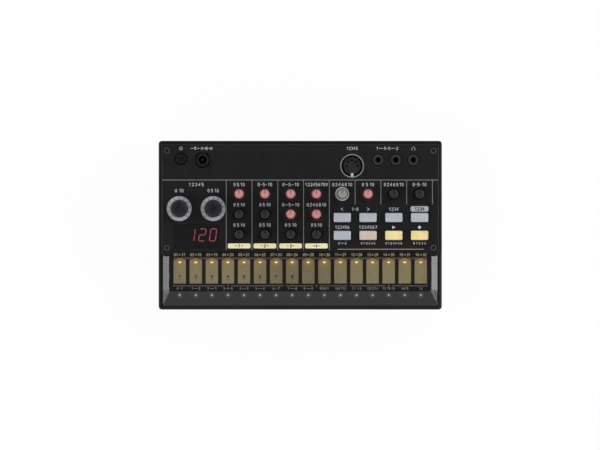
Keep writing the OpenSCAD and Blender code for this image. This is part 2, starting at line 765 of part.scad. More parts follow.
// The pads are one sheet: sixteen fingers that hang from a narrow bar, each with a slot for its light
module touch_pads() {
    color(gold_colour) on_deck() translate([0, 0, -touch_top]) linear_extrude(pad_t) difference() {
        union() {
            for (k = [0:pads - 1])
                translate([pad_u(k) - pad_w / 2, pad_front]) square([pad_w, pad_rear - pad_front]);
            translate([pad_u(0), pad_rear - pad_bar])
                square([pad_u(pads - 1) - pad_u(0), pad_bar]);
        }
        for (k = [0:pads - 1])
            translate([pad_u(k), pad_led_v]) slot(led_slot_w + 0.3, led_slot_d + 0.3);
    }
}

// A small light source, w along u, d along v
module chip(at, z0) {
    block(at, 1.6, 0.8, z0, z0 + 0.6);
}

// One light under each pad, on the touch board's underside, and one in front of it for its step
module step_leds() {
    color("white") on_deck() for (k = [0:pads - 1]) {
        chip([pad_u(k), pad_led_v], -touch_low - 0.6);
        chip([pad_u(k), front_led_v], -board_depth);
    }
}

// The comb of clear rods that carries the front row of lights up under the cover's bevel
module front_light_pipes() {
    color([0.9, 0.9, 0.92, 0.6]) on_deck() {
        slab(pad_u(0) - 2, front_led_v - 1.4, pad_u(pads - 1) + 2, front_led_v + 1.4,
            -board_depth + 0.8, -board_depth + 1.8);
        for (s = [-1, 1])
            block([s * (pad_u(pads - 1) - 4), front_led_v], 2, 2.8, -board_depth, -board_depth + 1);
        for (k = [0:pads - 1])
            peg([pad_u(k), front_led_v], pipe_r, -board_depth + 0.8, -cover_pipe_top());
    }
}

// Depth at which the light rods end, just under the cover's front bevel
function cover_pipe_top() = let (slope = atan(cover_drop / cover_front_bevel))
    (cover_top_front - front_led_v + pipe_r) * tan(slope) + cover_t / cos(slope) + 0.3;

// The four stand-offs and the connector between the touch board and the main board
module board_spacers() {
    color(metal_colour) on_deck() {
        for (su = [-6, 6], v = [touch_rear - 5, touch_front + 4])
            peg([su * pad_pitch, v], 2, -board_depth, -touch_low);
        block([0, (pad_led_v + touch_front) / 2], 2 * pad_pitch, link_d, -board_depth, -touch_low);
    }
}

// ---- Main board and what stands on it ----

module main_board() {
    color(board_colour) on_deck() difference() {
        slab(-board_u, board_front, board_u, board_rear, -board_low, -board_depth);
        for (at = board_post_at)
            peg(at, screw_hole_r, -board_low - 1, 1 - board_depth);
    }
}

// One potentiometer for each knob: a moulded body on the board, open in the middle for the shaft
module potentiometers() {
    color(knob_colour) on_deck() for (at = concat(small_knob_at, cap_at)) difference() {
        union() {
            block(at, pot_w, pot_d, -board_depth, -pot_top - 1.2);
            peg(at, pot_w / 2 - 0.2, -board_depth + 1, -pot_top);
        }
        peg(at, shaft_bore_r, -board_depth - 1, 0);
    }
}

// The lights under the clear knobs, one inside each of their potentiometers
module knob_leds() {
    color("white") on_deck() for (c = lit_knob_cells)
        chip([column_u(c[0]), knob_v(c[1])], -board_depth);
}

module button_switches() {
    color(knob_colour) on_deck() for (at = button_at) {
        block(at, 6, 6, -board_depth, -switch_top);
        peg(at, 1.7, -switch_top - 0.5, -plunger_top);
    }
}

module power_switch() {
    color(knob_colour) on_deck() {
        block(power_at, 7, 7, -board_depth, -switch_top);
        peg(power_at, 1.7, -switch_top - 0.5, -plunger_top);
    }
}

module display_module() {
    color([0.1, 0.08, 0.08]) on_deck()
        block(window_at, window_w - 2 * fit_gap, window_d - 2 * window_ledge - fit_gap, -board_depth,
            -panel_t - 0.7);
}

// ---- Sockets ----

module midi_socket() {
    base_top = board_depth - 4.5;
    color(knob_colour) on_deck() difference() {
        union() {
            peg(midi_at, midi_ring_r, -board_depth, -base_top);
            peg(midi_at, midi_core_r, -base_top - eps, -0.6);
        }
        for (a = [0:45:180])
            translate([midi_hole_circle_r * cos(a), midi_hole_circle_r * sin(a), 0])
                peg(midi_at, midi_hole_r, -base_top, 1);
        translate([midi_at[0], midi_at[1] - midi_core_r, 0])
            slab(-1.1, -1, 1.1, 1.2, -base_top, 1);
    }
}

module midi_ring() {
    color(metal_colour) on_deck() difference() {
        peg(midi_at, midi_ring_r, -board_depth + 4.5, 0.1);
        peg(midi_at, midi_ring_r - midi_ring_t, -board_depth, 1);
    }
}

module mini_jacks() {
    color(knob_colour) on_deck() for (at = jack_at) difference() {
        union() {
            block(at, jack_body_w, jack_body_d, -board_depth, -socket_top);
            peg(at, jack_collar_r, -socket_top - eps, -0.2);
        }
        peg(at, jack_bore_r, -0.2 - jack_bore_l, 1);
    }
}

module dc_socket() {
    color(knob_colour) on_deck() difference() {
        union() {
            block(dc_at, 10, 10.4, -board_depth, -socket_top);
            peg(dc_at, dc_collar_r, -socket_top - eps, -0.3);
        }
        peg(dc_at, dc_cavity_r, -board_depth + 1, 1);
    }
}

module dc_pin() {
    color(metal_colour) on_deck() peg(dc_at, dc_pin_r, -board_depth + 1, -1.2);
}

// ---- Loudspeaker ----

// Turns a profile of (radius, height) points about the loudspeaker's axis, from the case floor up
module turned(points) {
    translate([speaker_at[0], speaker_at[1], floor_z]) rotate_extrude() polygon(points);
}

speaker_back = 8;

module speaker_basket() {
    color(metal_colour) difference() {
        turned([[speaker_r - 3, 0], [speaker_r, 0], [speaker_r, 1.2], [speaker_r - 1.5, 1.2],
            [speaker_r * 0.5, speaker_back], [0, speaker_back], [0, speaker_back - 0.8],
            [speaker_r * 0.5 - 0.4, speaker_back - 0.8], [speaker_r - 2.4, 1.2], [speaker_r - 3, 1.2]]);
        for (a = [0, 90]) translate([speaker_at[0], speaker_at[1], floor_z]) rotate([0, 0, a])
            for (s = [-1, 1]) translate([s * speaker_r * 0.75, 0, 4.4])
                cube([speaker_r * 0.36, speaker_r * 0.6, 3], center = true);
    }
}

module speaker_cone() {
    color([0.1, 0.1, 0.1])
        turned([[speaker_r - 3.2, 0.3], [speaker_r - 3.2, 0.8], [speaker_r - 4.4, 1.1],
            [speaker_r * 0.28, 5.2], [0, 4.6], [0, 4.2], [speaker_r * 0.28 - 0.2, 4.7],
            [speaker_r - 4.8, 0.7]]);
}

module speaker_magnet() {
    color([0.3, 0.3, 0.32])
        turned([[0, speaker_back + 0.02], [speaker_r * 0.42, speaker_back + 0.02],
            [speaker_r * 0.42, speaker_back + 4], [speaker_r * 0.42 - 0.5, speaker_back + 4.5],
            [0, speaker_back + 4.5]]);
}

// ---- Battery bay contents ----

// The spring end of row k lies to the left in even rows and to the right in odd ones
function spring_left(k) = k % 2 == 0;

// Mirrors its children end for end inside the bay
module flipped(on) {
    mid = (bay_x0 + bay_x1) / 2;
    if (on)
        translate([mid, 0, 0]) mirror([1, 0, 0]) translate([-mid, 0, 0]) children();
    else
        children();
}

module battery_cells() {
    nub_l = 1.3;
    color([0.2, 0.35, 0.3]) for (row = [0:2], k = [0:1]) flipped(!spring_left(row))
        translate([bay_x0 + contact_t + spring_l + k * cell_l, row_y(row), cell_z])
            rotate([0, 90, 0]) {
                cylinder(h = cell_l - nub_l, r = cell_r);
                cylinder(h = cell_l - 0.02, r = 2.75);
            }
}

wire_r = 0.35;
coil_r = 3.2;
coil_turns = 4;
turn_steps = 14;
wire_sides = 7;

// A conical coil of wire along X, from x = 0 to x = l
module coil(l) {
    steps = coil_turns * turn_steps;
    points = [for (i = [0:steps]) let (
        f = i / steps,
        a = 360 * i / turn_steps,
        r = coil_r - 0.8 * f,
        x = wire_r + f * (l - 2 * wire_r))
        for (j = [0:wire_sides - 1]) let (b = 360 * j / wire_sides, q = r + wire_r * cos(b))
            [x + wire_r * sin(b), q * cos(a), q * sin(a)]];
    sides = [for (i = [0:steps - 1], j = [0:wire_sides - 1]) let (n = (j + 1) % wire_sides)
        [i * wire_sides + j, i * wire_sides + n, (i + 1) * wire_sides + n, (i + 1) * wire_sides + j]];
    first = [for (j = [wire_sides - 1:-1:0]) j];
    last = [for (j = [0:wire_sides - 1]) steps * wire_sides + j];
    polyhedron(points, concat([first, last], sides), convexity = 8);
}

// Contact plates on the bay's end walls, bridged where two rows join, and a coil at each spring end
module battery_contacts() {
    plate_h = cell_d * 0.75;
    half = cell_d * 0.42;
    color(metal_colour) {
        for (ends = [[bay_x0, 0, 0], [bay_x0, 1, 2], [bay_x1 - contact_t, 0, 1],
                [bay_x1 - contact_t, 2, 2]])
            slab(ends[0], row_y(ends[1]) - half, ends[0] + contact_t, row_y(ends[2]) + half,
                cell_z - plate_h / 2, cell_z + plate_h / 2);
        for (row = [0:2]) flipped(!spring_left(row))
            translate([bay_x0 + contact_t + 0.03, row_y(row), cell_z]) coil(spring_l - 0.06);
    }
}

// ---- Screws ----

// A screw along Z with its head's top at z = 0, with a cross recess
module screw(length) {
    difference() {
        union() {
            translate([0, 0, -head_h]) cylinder(h = head_h, r = head_r);
            translate([0, 0, -length]) cylinder(h = length - head_h / 2, r = shank_r);
        }
        for (a = [0, 90]) rotate([0, 0, a])
            translate([-1.3, -0.35, -0.7]) cube([2.6, 0.7, 1]);
    }
}

module panel_screws() {
    color(metal_colour) on_deck() for (at = panel_screw_at)
        translate([at[0], at[1], -0.1]) screw(flange_depth + pilot_l - 2);
}

module case_screws() {
    color(metal_colour) on_deck() for (at = case_screw_at)
        translate([at[0], at[1], -seam_depth - case_head_seat - head_h]) rotate([180, 0, 0])
            screw(case_head_seat + head_h + pilot_l - 1);
}

module board_screws() {
    color(metal_colour) on_deck() for (at = board_post_at)
        translate([at[0], at[1], -board_low - head_h]) rotate([180, 0, 0])
            screw(board_low - panel_t - 2);
}

// ---- Buttons ----

// A push button: a cap above the panel, a flange that keeps it in and a stem for the switch
module push_button(column, row, tint) {
    at = [column_u(column), button_v(row)];
    color(tint) on_deck() {
        difference() {
            block(at, button_w, button_d, -keeper_low + eps, button_h, button_r);
            along_edges(at);
        }
        block(at, button_w + 2 * keeper_w, button_d + 2 * keeper_w, -keeper_low, -keeper_top);
        block(at, 3, 3, -stem_low, -keeper_low + eps);
    }
}

// Cuts the bevel along a button's upper edges
module along_edges(at) {
    c = 0.3;
    for (s = [-1, 1]) {
        translate([at[0], at[1] + s * button_d / 2, button_h]) rotate([45, 0, 0])
            cube([button_w + 2, c * sqrt(2), c * sqrt(2)], center = true);
        translate([at[0] + s * button_w / 2, at[1], button_h]) rotate([0, 45, 0])
            cube([c * sqrt(2), button_d + 2, c * sqrt(2)], center = true);
    }
}

module button_part_left() { push_button(4, 0, button_colour); }
module button_part_right() { push_button(5, 0, button_colour); }
module button_mute() { push_button(6, 0, button_colour); }
module button_function() { push_button(7, 0, button_colour); }
module button_memory() { push_button(4, 1, button_colour); }
module button_step_mode() { push_button(5, 1, [0.84, 0.78, 0.74]); }
module button_play() { push_button(6, 1, [0.98, 0.88, 0.63]); }
module button_record() { push_button(7, 1, [0.98, 0.88, 0.63]); }

module power_button() {
    color(knob_colour) on_deck() difference() {
        union() {
            peg(power_at, power_r, -keeper_low, power_h - 0.3);
            translate([power_at[0], power_at[1], power_h - 0.3])
                cylinder(h = 0.3, r1 = power_r, r2 = power_r - 0.3);
            peg(power_at, power_hole_r + keeper_w - 0.1, -keeper_low, -keeper_top);
            peg(power_at, 1.5, -stem_low, -keeper_low + eps);
        }
        peg(power_at, power_r - 1.2, power_h - 0.2, power_h + 1);
    }
}

// ---- Knobs ----

// The outline of a knob's grip: a circle with round flutes cut into its edge
module fluted(r, count) {
    difference() {
        circle(r = r);
        for (k = [0:count - 1]) rotate([0, 0, (k + 0.5) * 360 / count])
            translate([r + flute_depth, 0]) circle(r = 2 * flute_depth);
    }
}

// The straight pointer slot across a knob's top, from near its centre to its rear edge
module pointer_slot(r, top, width) {
    translate([-width / 2, r * 0.12, top - 0.5]) cube([width, r, 1]);
}

// A small knob is one moulding: a grip on a flared foot, and the shaft that turns in its potentiometer
module small_knob(column, row, tint) {
    grip_low = 1;
    flare_h = 1.4;
    color(tint) on_deck() translate([column_u(column), knob_v(row), 0]) difference() {
        union() {
            translate([0, 0, -shaft_low]) cylinder(h = shaft_low - collar_low + 0.5, r = shaft_r);
            translate([0, 0, -collar_low]) cylinder(h = collar_low + grip_low, r = knob_foot_r);
            translate([0, 0, grip_low - eps])
                cylinder(h = flare_h + eps, r1 = knob_foot_r, r2 = knob_r - flute_depth - 0.05);
            translate([0, 0, grip_low]) linear_extrude(knob_h - 0.4 - grip_low)
                fluted(knob_r, knob_flutes);
            translate([0, 0, knob_h - 0.4 - eps])
                cylinder(h = 0.4 + eps, r1 = knob_r - flute_depth, r2 = knob_r - flute_depth - 0.35);
        }
        pointer_slot(knob_r, knob_h, 0.7);
    }
}

module knob_kick_click() { small_knob(0, 0, lit_colour); }
module knob_kick_pitch() { small_knob(0, 1, knob_colour); }
module knob_kick_decay() { small_knob(0, 2, knob_colour); }
module knob_snare_snappy() { small_knob(1, 0, lit_colour); }
module knob_snare_pitch() { small_knob(1, 1, knob_colour); }
module knob_snare_decay() { small_knob(1, 2, knob_colour); }
module knob_tom_high_pitch() { small_knob(2, 0, lit_colour); }
module knob_tom_low_pitch() { small_knob(2, 1, lit_colour); }
module knob_tom_decay() { small_knob(2, 2, knob_colour); }
module knob_hat_closed_decay() { small_knob(3, 0, lit_colour); }
module knob_hat_open_decay() { small_knob(3, 1, lit_colour); }
module knob_hat_grain() { small_knob(3, 2, knob_colour); }
module knob_sample_speed() { small_knob(4, 0, [0.45, 0.45, 0.47]); }
module knob_tempo() { small_knob(5, 0, lit_colour); }
module knob_part_level() { small_knob(6, 0, knob_colour); }
module knob_volume() { small_knob(7, 0, knob_colour); }

// The shaft of large knob k, turned down to a flat where the cap grips it
module cap_shaft(k) {
    color(metal_colour) on_deck() translate([cap_at[k][0], cap_at[k][1], 0]) difference() {
        translate([0, 0, -shaft_low]) cylinder(h = shaft_low + cap_bore_h() - 0.1, r = cap_shaft_r);
        translate([-cap_shaft_r - 1, -cap_shaft_r - 2, 1.4])
            cube([2 * cap_shaft_r + 2, 2 + cap_flat(), cap_h]);
    }
}

function cap_bore_h() = cap_h - 3.5;
function cap_flat() = cap_shaft_r * 0.3;

// The cap of large knob k: a fluted grip on a plain foot, bored for its shaft with the same flat
module cap(k) {
    foot_top = cap_gap + 1.4;
    color([0.3, 0.3, 0.31]) on_deck() translate([cap_at[k][0], cap_at[k][1], 0]) difference() {
        union() {
            translate([0, 0, cap_gap]) cylinder(h = foot_top - cap_gap + 0.2, r = cap_r);
            translate([0, 0, foot_top]) linear_extrude(cap_h - 0.6 - foot_top)
                fluted(cap_r, cap_flutes);
            translate([0, 0, cap_h - 0.6 - eps])
                cylinder(h = 0.6 + eps, r1 = cap_r - flute_depth, r2 = cap_r - flute_depth - 0.5);
        }
        difference() {
            translate([0, 0, -1]) cylinder(h = cap_bore_h() + 1, r = cap_shaft_r + 0.03);
            translate([-cap_shaft_r - 1, -cap_shaft_r - 2, 1.5])
                cube([2 * cap_shaft_r + 2, 2 + cap_flat() - 0.03, cap_h]);
        }
        pointer_slot(cap_r, cap_h, 0.9);
    }
}

module knob_stutter_time() { cap(0); }
module knob_stutter_depth() { cap(1); }
module shaft_stutter_time() { cap_shaft(0); }
module shaft_stutter_depth() { cap_shaft(1); }

upper_case();
lower_case();
control_panel();
display_window();
touch_cover();
touch_board();
touch_pads();
step_leds();
front_light_pipes();
board_spacers();
main_board();
potentiometers();
knob_leds();
button_switches();
power_switch();
display_module();
midi_socket();
midi_ring();
mini_jacks();
dc_socket();
dc_pin();
speaker_basket();
speaker_cone();
speaker_magnet();
battery_contacts();
battery_cells();
rubber_feet();
panel_screws();
case_screws();
board_screws();
battery_door();
power_button();
button_part_left();
button_part_right();
button_mute();
button_function();
button_memory();
button_step_mode();
button_play();
button_record();
knob_stutter_time();
knob_stutter_depth();
shaft_stutter_time();
shaft_stutter_depth();
knob_kick_click();
knob_kick_pitch();
knob_kick_decay();
knob_snare_snappy();
knob_snare_pitch();
knob_snare_decay();
knob_tom_high_pitch();
knob_tom_low_pitch();
knob_tom_decay();
knob_hat_closed_decay();
knob_hat_open_decay();
knob_hat_grain();
knob_sample_speed();
knob_tempo();
knob_part_level();
knob_volume();
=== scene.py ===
"""Dresses the desktop drum machine: its printed marks, lights and finishes, and the studio it stands in."""

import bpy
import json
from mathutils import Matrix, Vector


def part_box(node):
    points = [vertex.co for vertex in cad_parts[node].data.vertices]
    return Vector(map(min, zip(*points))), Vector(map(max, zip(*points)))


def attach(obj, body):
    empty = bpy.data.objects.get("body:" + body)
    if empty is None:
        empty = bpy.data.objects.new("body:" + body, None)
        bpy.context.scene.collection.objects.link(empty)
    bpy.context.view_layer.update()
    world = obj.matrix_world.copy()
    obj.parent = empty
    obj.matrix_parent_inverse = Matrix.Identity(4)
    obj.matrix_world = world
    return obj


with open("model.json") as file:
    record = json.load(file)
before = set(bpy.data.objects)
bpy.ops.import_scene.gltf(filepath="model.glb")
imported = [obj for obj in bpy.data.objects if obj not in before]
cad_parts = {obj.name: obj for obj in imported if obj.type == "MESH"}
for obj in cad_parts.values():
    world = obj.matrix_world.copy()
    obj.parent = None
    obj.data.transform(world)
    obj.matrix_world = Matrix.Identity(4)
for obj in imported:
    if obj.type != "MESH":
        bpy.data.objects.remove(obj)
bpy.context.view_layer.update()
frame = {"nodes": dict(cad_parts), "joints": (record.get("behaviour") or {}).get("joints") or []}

import json
import math

import bmesh
import bpy
import numpy as np
from bpy.props import FloatProperty, FloatVectorProperty, IntProperty, PointerProperty, StringProperty
from mathutils import Matrix, Vector

bl_info = {
    "name": "Drum Machine Dresser",
    "version": (1, 0, 0),
    "blender": (4, 5, 0),
    "location": "3D View > Sidebar > Drum Machine",
    "description": "Prints, lights and finishes for a desktop drum machine, and a studio round it",
    "category": "Object",
}


# ---- The deck: u to the right, v up the slope to the rear, w out of the panel's face, in millimetres ----

MM = 0.001
TURN_AXIS = next(j["axis"] for j in frame["joints"] if j["name"] == "knob_tempo_turn")
NORMAL = np.array(TURN_AXIS, float) / np.linalg.norm(TURN_AXIS)
SLOPE = np.array([0.0, NORMAL[2], -NORMAL[1]])
ACROSS = np.array([1.0, 0.0, 0.0])
AXES = np.stack([ACROSS, SLOPE, NORMAL])
PANEL_REAR = 55.4  # v of the panel's rear edge


def corners(node):
    """Every vertex of a packed node as an array of points, in metres."""
    mesh = cad(node).data
    points = np.empty(len(mesh.vertices) * 3, np.float32)
    mesh.vertices.foreach_get("co", points)
    return points.reshape(-1, 3).astype(float)


def cad(node):
    """The packed node of that name. A missing one stops the script."""
    if node not in frame["nodes"]:
        raise KeyError(f"the packed model has no node named {node}")
    return frame["nodes"][node]


def find_deck():
    """The deck's origin: as high as the panel's face, and a panel's depth in front of its rear edge."""
    panel = corners("control_panel") @ AXES.T
    return AXES.T @ np.array([0.0, panel[:, 1].max() - PANEL_REAR * MM, panel[:, 2].max()])


DECK = find_deck()


def to_world(points):
    """Deck millimetres to metres in the frame: the origin plus u, v and w along the deck's three axes."""
    return DECK + np.asarray(points, float) * MM @ AXES


def reach_on_deck(node):
    """A node's lowest and highest u, v and w, in millimetres."""
    points = (corners(node) - DECK) @ AXES.T / MM
    return points.min(0), points.max(0)


def middle_on_deck(node):
    """u and v of a node's middle, and w of its top."""
    low, high = reach_on_deck(node)
    return (low[0] + high[0]) / 2, (low[1] + high[1]) / 2, high[2]


# ---- Surfaces: every patch is a grid of points, closed into a ring along its second parameter ----


def arc(centre, radii, start, end, steps=12):
    """Points of an ellipse from one angle to another: its centre plus its radii times cosine and sine."""
    a = np.radians(np.linspace(start, end, steps + 1))
    return np.stack([centre[0] + radii[0] * np.cos(a), centre[1] + radii[1] * np.sin(a)], 1)


def oval(centre, radii, points=12):
    """Points right round an ellipse, which ends one step short of where it starts."""
    return arc(centre, radii, 0, 360 - 360 / points, points - 1)


MITRE_LIMIT = 0.35  # the cosine at which a sharp corner's mitre stops growing


def band(path, width, low, high, closed=False):
    """A flat bar carried along a path. At each point the bar's edges lie half a width to either side,
    along the mitre between its two neighbours, and a row holds its four corners at foot and top.
    An open bar ends in a row drawn together to one point, so that the surface is closed."""
    p = np.asarray(path, float)
    if closed:
        before, after = p - np.roll(p, 1, 0), np.roll(p, -1, 0) - p
    else:
        step = np.diff(p, axis=0)
        before, after = np.vstack([step[:1], step]), np.vstack([step, step[-1:]])
    before /= np.linalg.norm(before, axis=1, keepdims=True)
    after /= np.linalg.norm(after, axis=1, keepdims=True)
    along = before + after
    side = np.stack([-along[:, 1], along[:, 0]], 1)
    side /= np.linalg.norm(side, axis=1, keepdims=True)
    mitre = np.abs(side[:, 0] * -after[:, 1] + side[:, 1] * after[:, 0])
    half = side * (width / 2 / np.maximum(mitre, MITRE_LIMIT))[:, None]
    left, right = p + half, p - half

    def level(points, w):
        return np.column_stack([points, np.full(len(points), w)])

    rows = np.stack([level(left, low), level(right, low), level(right, high), level(left, high)], 1)
    if not closed:
        ends = rows[[0, -1]].mean(1, keepdims=True).repeat(4, 1)
        rows = np.concatenate([ends[:1], rows, ends[1:]])
    return rows, closed


def rounded(centre, width, depth, radius, steps=5):
    """The outline of a plate with round corners: four quarter circles about its inner corners."""
    quarters = [
        arc((centre[0] + sx * (width / 2 - radius), centre[1] + sy * (depth / 2 - radius)),
            (radius, radius), start, start + 90, steps)
        for sx, sy, start in ((1, 1, 0), (-1, 1, 90), (-1, -1, 180), (1, -1, 270))
    ]
    return np.concatenate(quarters)


def plate(outline, low, high, inset=0.0):
    """A flat plate: its outline at the foot and at the top, drawn in by inset there, with both faces
    closed onto the middle."""
    edge = np.asarray(outline, float)
    middle = edge.mean(0)
    spread = edge - middle
    drawn = middle + spread * (1 - inset / np.linalg.norm(spread, axis=1, keepdims=True))
    pole = middle + 0 * spread
    levels = [(pole, low), (edge, low), (edge, high - inset), (drawn, high), (pole, high)]
    return np.stack([np.column_stack([points, np.full(len(points), w)]) for points, w in levels]), False


def turned(centre, profile, stretch=(1.0, 1.0), steps=24):
    """A profile of radius and height turned about the deck's normal through centre."""
    a = np.linspace(0, 2 * math.pi, steps, endpoint=False)
    r, w = np.asarray(profile, float).T
    u = centre[0] + stretch[0] * r[:, None] * np.cos(a)
    v = centre[1] + stretch[1] * r[:, None] * np.sin(a)
    return np.stack([u, v, np.repeat(w[:, None], steps, 1)], -1), False


def faces_of(rows, columns, closed, first):
    """The quads of a grid, ring along its columns: each point with its neighbours in row and column."""
    r = np.arange(rows if closed else rows - 1)[:, None]
    c = np.arange(columns)[None, :]
    on, over = (c + 1) % columns, (r + 1) % rows
    quads = np.stack([r * columns + c, r * columns + on, over * columns + on, over * columns + c], -1)
    return quads.reshape(-1, 4) + first


WELD = 2e-7  # how far apart two points may lie and still be joined, in metres


def weld(mesh):
    """Joins the points that coincide and turns every face the same way out."""
    shell = bmesh.new()
    shell.from_mesh(mesh)
    bmesh.ops.remove_doubles(shell, verts=shell.verts, dist=WELD)
    bmesh.ops.recalc_face_normals(shell, faces=shell.faces)
    shell.to_mesh(mesh)
    shell.free()


def put(name, patches, material, body="housing", smooth=False):
    """Joins patches into one piece in the frame, welds their seams and poles, turns every face outwards
    and lets the piece ride on a body."""
    if not patches:
        raise ValueError(f"{name} has no patches")
    points, faces, count = [], [], 0
    for grid, closed in patches:
        rows, columns = grid.shape[:2]
        points.append(grid.reshape(-1, 3))
        faces.append(faces_of(rows, columns, closed, count))
        count += rows * columns
    mesh = bpy.data.meshes.new(name)
    mesh.from_pydata(to_world(np.concatenate(points)).tolist(), [], np.concatenate(faces).tolist())
    weld(mesh)
    if smooth:
        mesh.shade_smooth()
    mesh.materials.append(material)
    piece = bpy.data.objects.new(name, mesh)
    bpy.context.scene.collection.objects.link(piece)
    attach(piece, body)


# ---- Figures: each digit is a few strokes in a cell 0.6 wide and 1 high ----

FIGURES = {
    "0": [(oval((0.3, 0.5), (0.26, 0.5), 16), True)],
    "1": [([(0.1, 0.76), (0.34, 1.0), (0.34, 0.0)], False)],
    "2": [(np.vstack([arc((0.3, 0.72), (0.26, 0.28), 165, -35, 8), [(0.05, 0.0), (0.58, 0.0)]]), False)],
    "3": [(np.vstack([arc((0.29, 0.75), (0.24, 0.25), 155, -75, 8),
                      arc((0.29, 0.27), (0.27, 0.27), 75, -155, 9)]), False)],
    "4": [([(0.43, 0.0), (0.43, 1.0), (0.03, 0.3), (0.6, 0.3)], False)],
    "5": [(np.vstack([[(0.53, 1.0), (0.11, 1.0), (0.08, 0.55)],
                      arc((0.28, 0.32), (0.28, 0.32), 120, -145, 9)]), False)],
    "6": [(oval((0.3, 0.3), (0.25, 0.3)), True), (arc((0.62, 0.36), (0.57, 0.66), 100, 180, 6), False)],
    "7": [([(0.04, 1.0), (0.57, 1.0), (0.22, 0.0)], False)],
    "8": [(oval((0.3, 0.76), (0.21, 0.24), 10), True), (oval((0.3, 0.27), (0.26, 0.27)), True)],
    "9": [(oval((0.3, 0.7), (0.25, 0.3)), True), (arc((-0.02, 0.64), (0.57, 0.66), -80, 0, 6), False)],
    "-": [([(0.06, 0.5), (0.54, 0.5)], False)],
}
ADVANCE = 0.78  # from one figure to the next, in figure heights
LOOSE = 0.18  # the part of it that lies between the two
OUTER_GAP = 0.3  # between a number and the dash beside it, in figure heights
INNER_GAP = 0.36  # between two numbers and the dash that joins them
SHORTEST_DASH = 0.4  # in millimetres


def figures(text, at, height, stroke, low, high, reach=None):
    """A number on the deck with its middle at a point. With a reach, thin dashes fill the rest of it."""
    advance = ADVANCE * height
    start = at[0] - (len(text) * advance - LOOSE * height) / 2
    patches = []
    for place, figure in enumerate(text):
        for points, closed in FIGURES[figure]:
            line = np.asarray(points, float) * height + [start + place * advance, at[1] - height / 2]
            patches.append(band(line, stroke, low, high, closed))
    edge = (len(text) * advance) / 2 + OUTER_GAP * height
    if reach and reach / 2 > edge + SHORTEST_DASH:
        for side in (-1, 1):
            dash = [(at[0] + side * edge, at[1]), (at[0] + side * reach / 2, at[1])]
            patches.append(band(dash, stroke, low, high))
    return patches


def span(numbers, at, reach, height, stroke, low, high):
    """Numbers spread evenly over reach, with a short dash in every wide gap."""
    wide = [(len(text) * ADVANCE - LOOSE) * height for text in numbers]
    gaps = len(numbers) - 1
    gap = (reach - sum(wide)) / gaps
    inset = INNER_GAP * height
    patches, start = [], at[0] - reach / 2
    for place, (text, width) in enumerate(zip(numbers, wide)):
        patches += figures(text, (start + width / 2, at[1]), height, stroke, low, high)
        start += width + gap
        if gap > height and place < gaps:
            dash = [(start - gap + inset, at[1]), (start - inset, at[1])]
            patches.append(band(dash, stroke, low, high))
    return patches


# ---- Shader groups: each puts out what varies over a surface, and the shaders stay in the materials ----

NUMBER, VECTOR = "NodeSocketFloat", "NodeSocketVector"
BLACK = (0.0, 0.0, 0.0)
TO_MM = (1000.0, 1000.0, 1000.0)
FLAT = (1.0, 1.0, 0.0)  # keeps u and v and drops w


def linear(red, green, blue):
    """A screen colour from 0 to 255 as the linear colour that a shader takes."""
    c = np.array([red, green, blue]) / 255
    return tuple(float(x) for x in np.where(c <= 0.04045, c / 12.92, ((c + 0.055) / 1.055) ** 2.4))


def toned(colour, *factors):
    """A colour times one factor, or times one factor for each channel."""
    return tuple(c * k for c, k in zip(colour, factors * 3 if len(factors) == 1 else factors))


class Tree:
    """A node tree being wired."""

    def __init__(self, tree):
        self.tree = tree

    def link(self, socket, value):
        """Feeds a socket from another one, or sets its own value."""
        if isinstance(value, bpy.types.NodeSocket):
            self.tree.links.new(value, socket)
        elif socket.type == "RGBA":
            socket.default_value = (*value[:3], 1.0)
        else:
            socket.default_value = value

    def add(self, kind, feeds=None, **settings):
        """A new node with these settings, its sockets fed by name or by number."""
        node = self.tree.nodes.new(kind)
        for key, value in settings.items():
            setattr(node, key, value)
        for key, value in (feeds or {}).items():
            self.link(node.inputs[key], value)
        return node

    def math(self, operation, *values):
        """One arithmetic step on numbers or sockets."""
        return self.add("ShaderNodeMath", dict(enumerate(values)), operation=operation).outputs[0]

    def times(self, first, *others):
        """The product of masks and numbers."""
        for other in others:
            first = self.math("MULTIPLY", first, other)
        return first

    def off(self, value, middle=0.0):
        """How far a value lies from a middle."""
        return self.math("ABSOLUTE", self.math("SUBTRACT", value, middle))

    def vector(self, operation, *values):
        """One step on vectors."""
        node = self.add("ShaderNodeVectorMath", dict(enumerate(values)), operation=operation)
        return node.outputs["Value" if operation in ("LENGTH", "DOT_PRODUCT") else "Vector"]

    def split(self, place):
        """The three parts of a vector."""
        return self.add("ShaderNodeSeparateXYZ", {0: place}).outputs

    def ease(self, value, start, end, low=0.0, high=1.0):
        """A smooth step: low at start and high at end."""
        feeds = {"Value": value, "From Min": start, "From Max": end, "To Min": low, "To Max": high}
        return self.add("ShaderNodeMapRange", feeds, interpolation_type="SMOOTHSTEP").outputs["Result"]

    def fade(self, value, start, end, most=1.0):
        """A smooth step down: most at start and nothing at end."""
        return self.ease(value, start, end, most, 0.0)

    def mix(self, mask, first, second):
        """The first colour where the mask is 0 and the second where it is 1."""
        return self.add("ShaderNodeMix", {0: mask, 6: first, 7: second}, data_type="RGBA").outputs[2]

    def noise(self, place, scale, detail=3.0, roughness=0.55):
        """Soft cloudy noise from 0 to 1."""
        feeds = {"Vector": place, "Scale": scale, "Detail": detail, "Roughness": roughness}
        return self.add("ShaderNodeTexNoise", feeds).outputs[0]

    def cells(self, place, scale, output=0, **settings):
        """Cells about scattered points: the distance to the nearest one, or its colour with output 1."""
        return self.add("ShaderNodeTexVoronoi", {"Vector": place, "Scale": scale}, **settings).outputs[output]


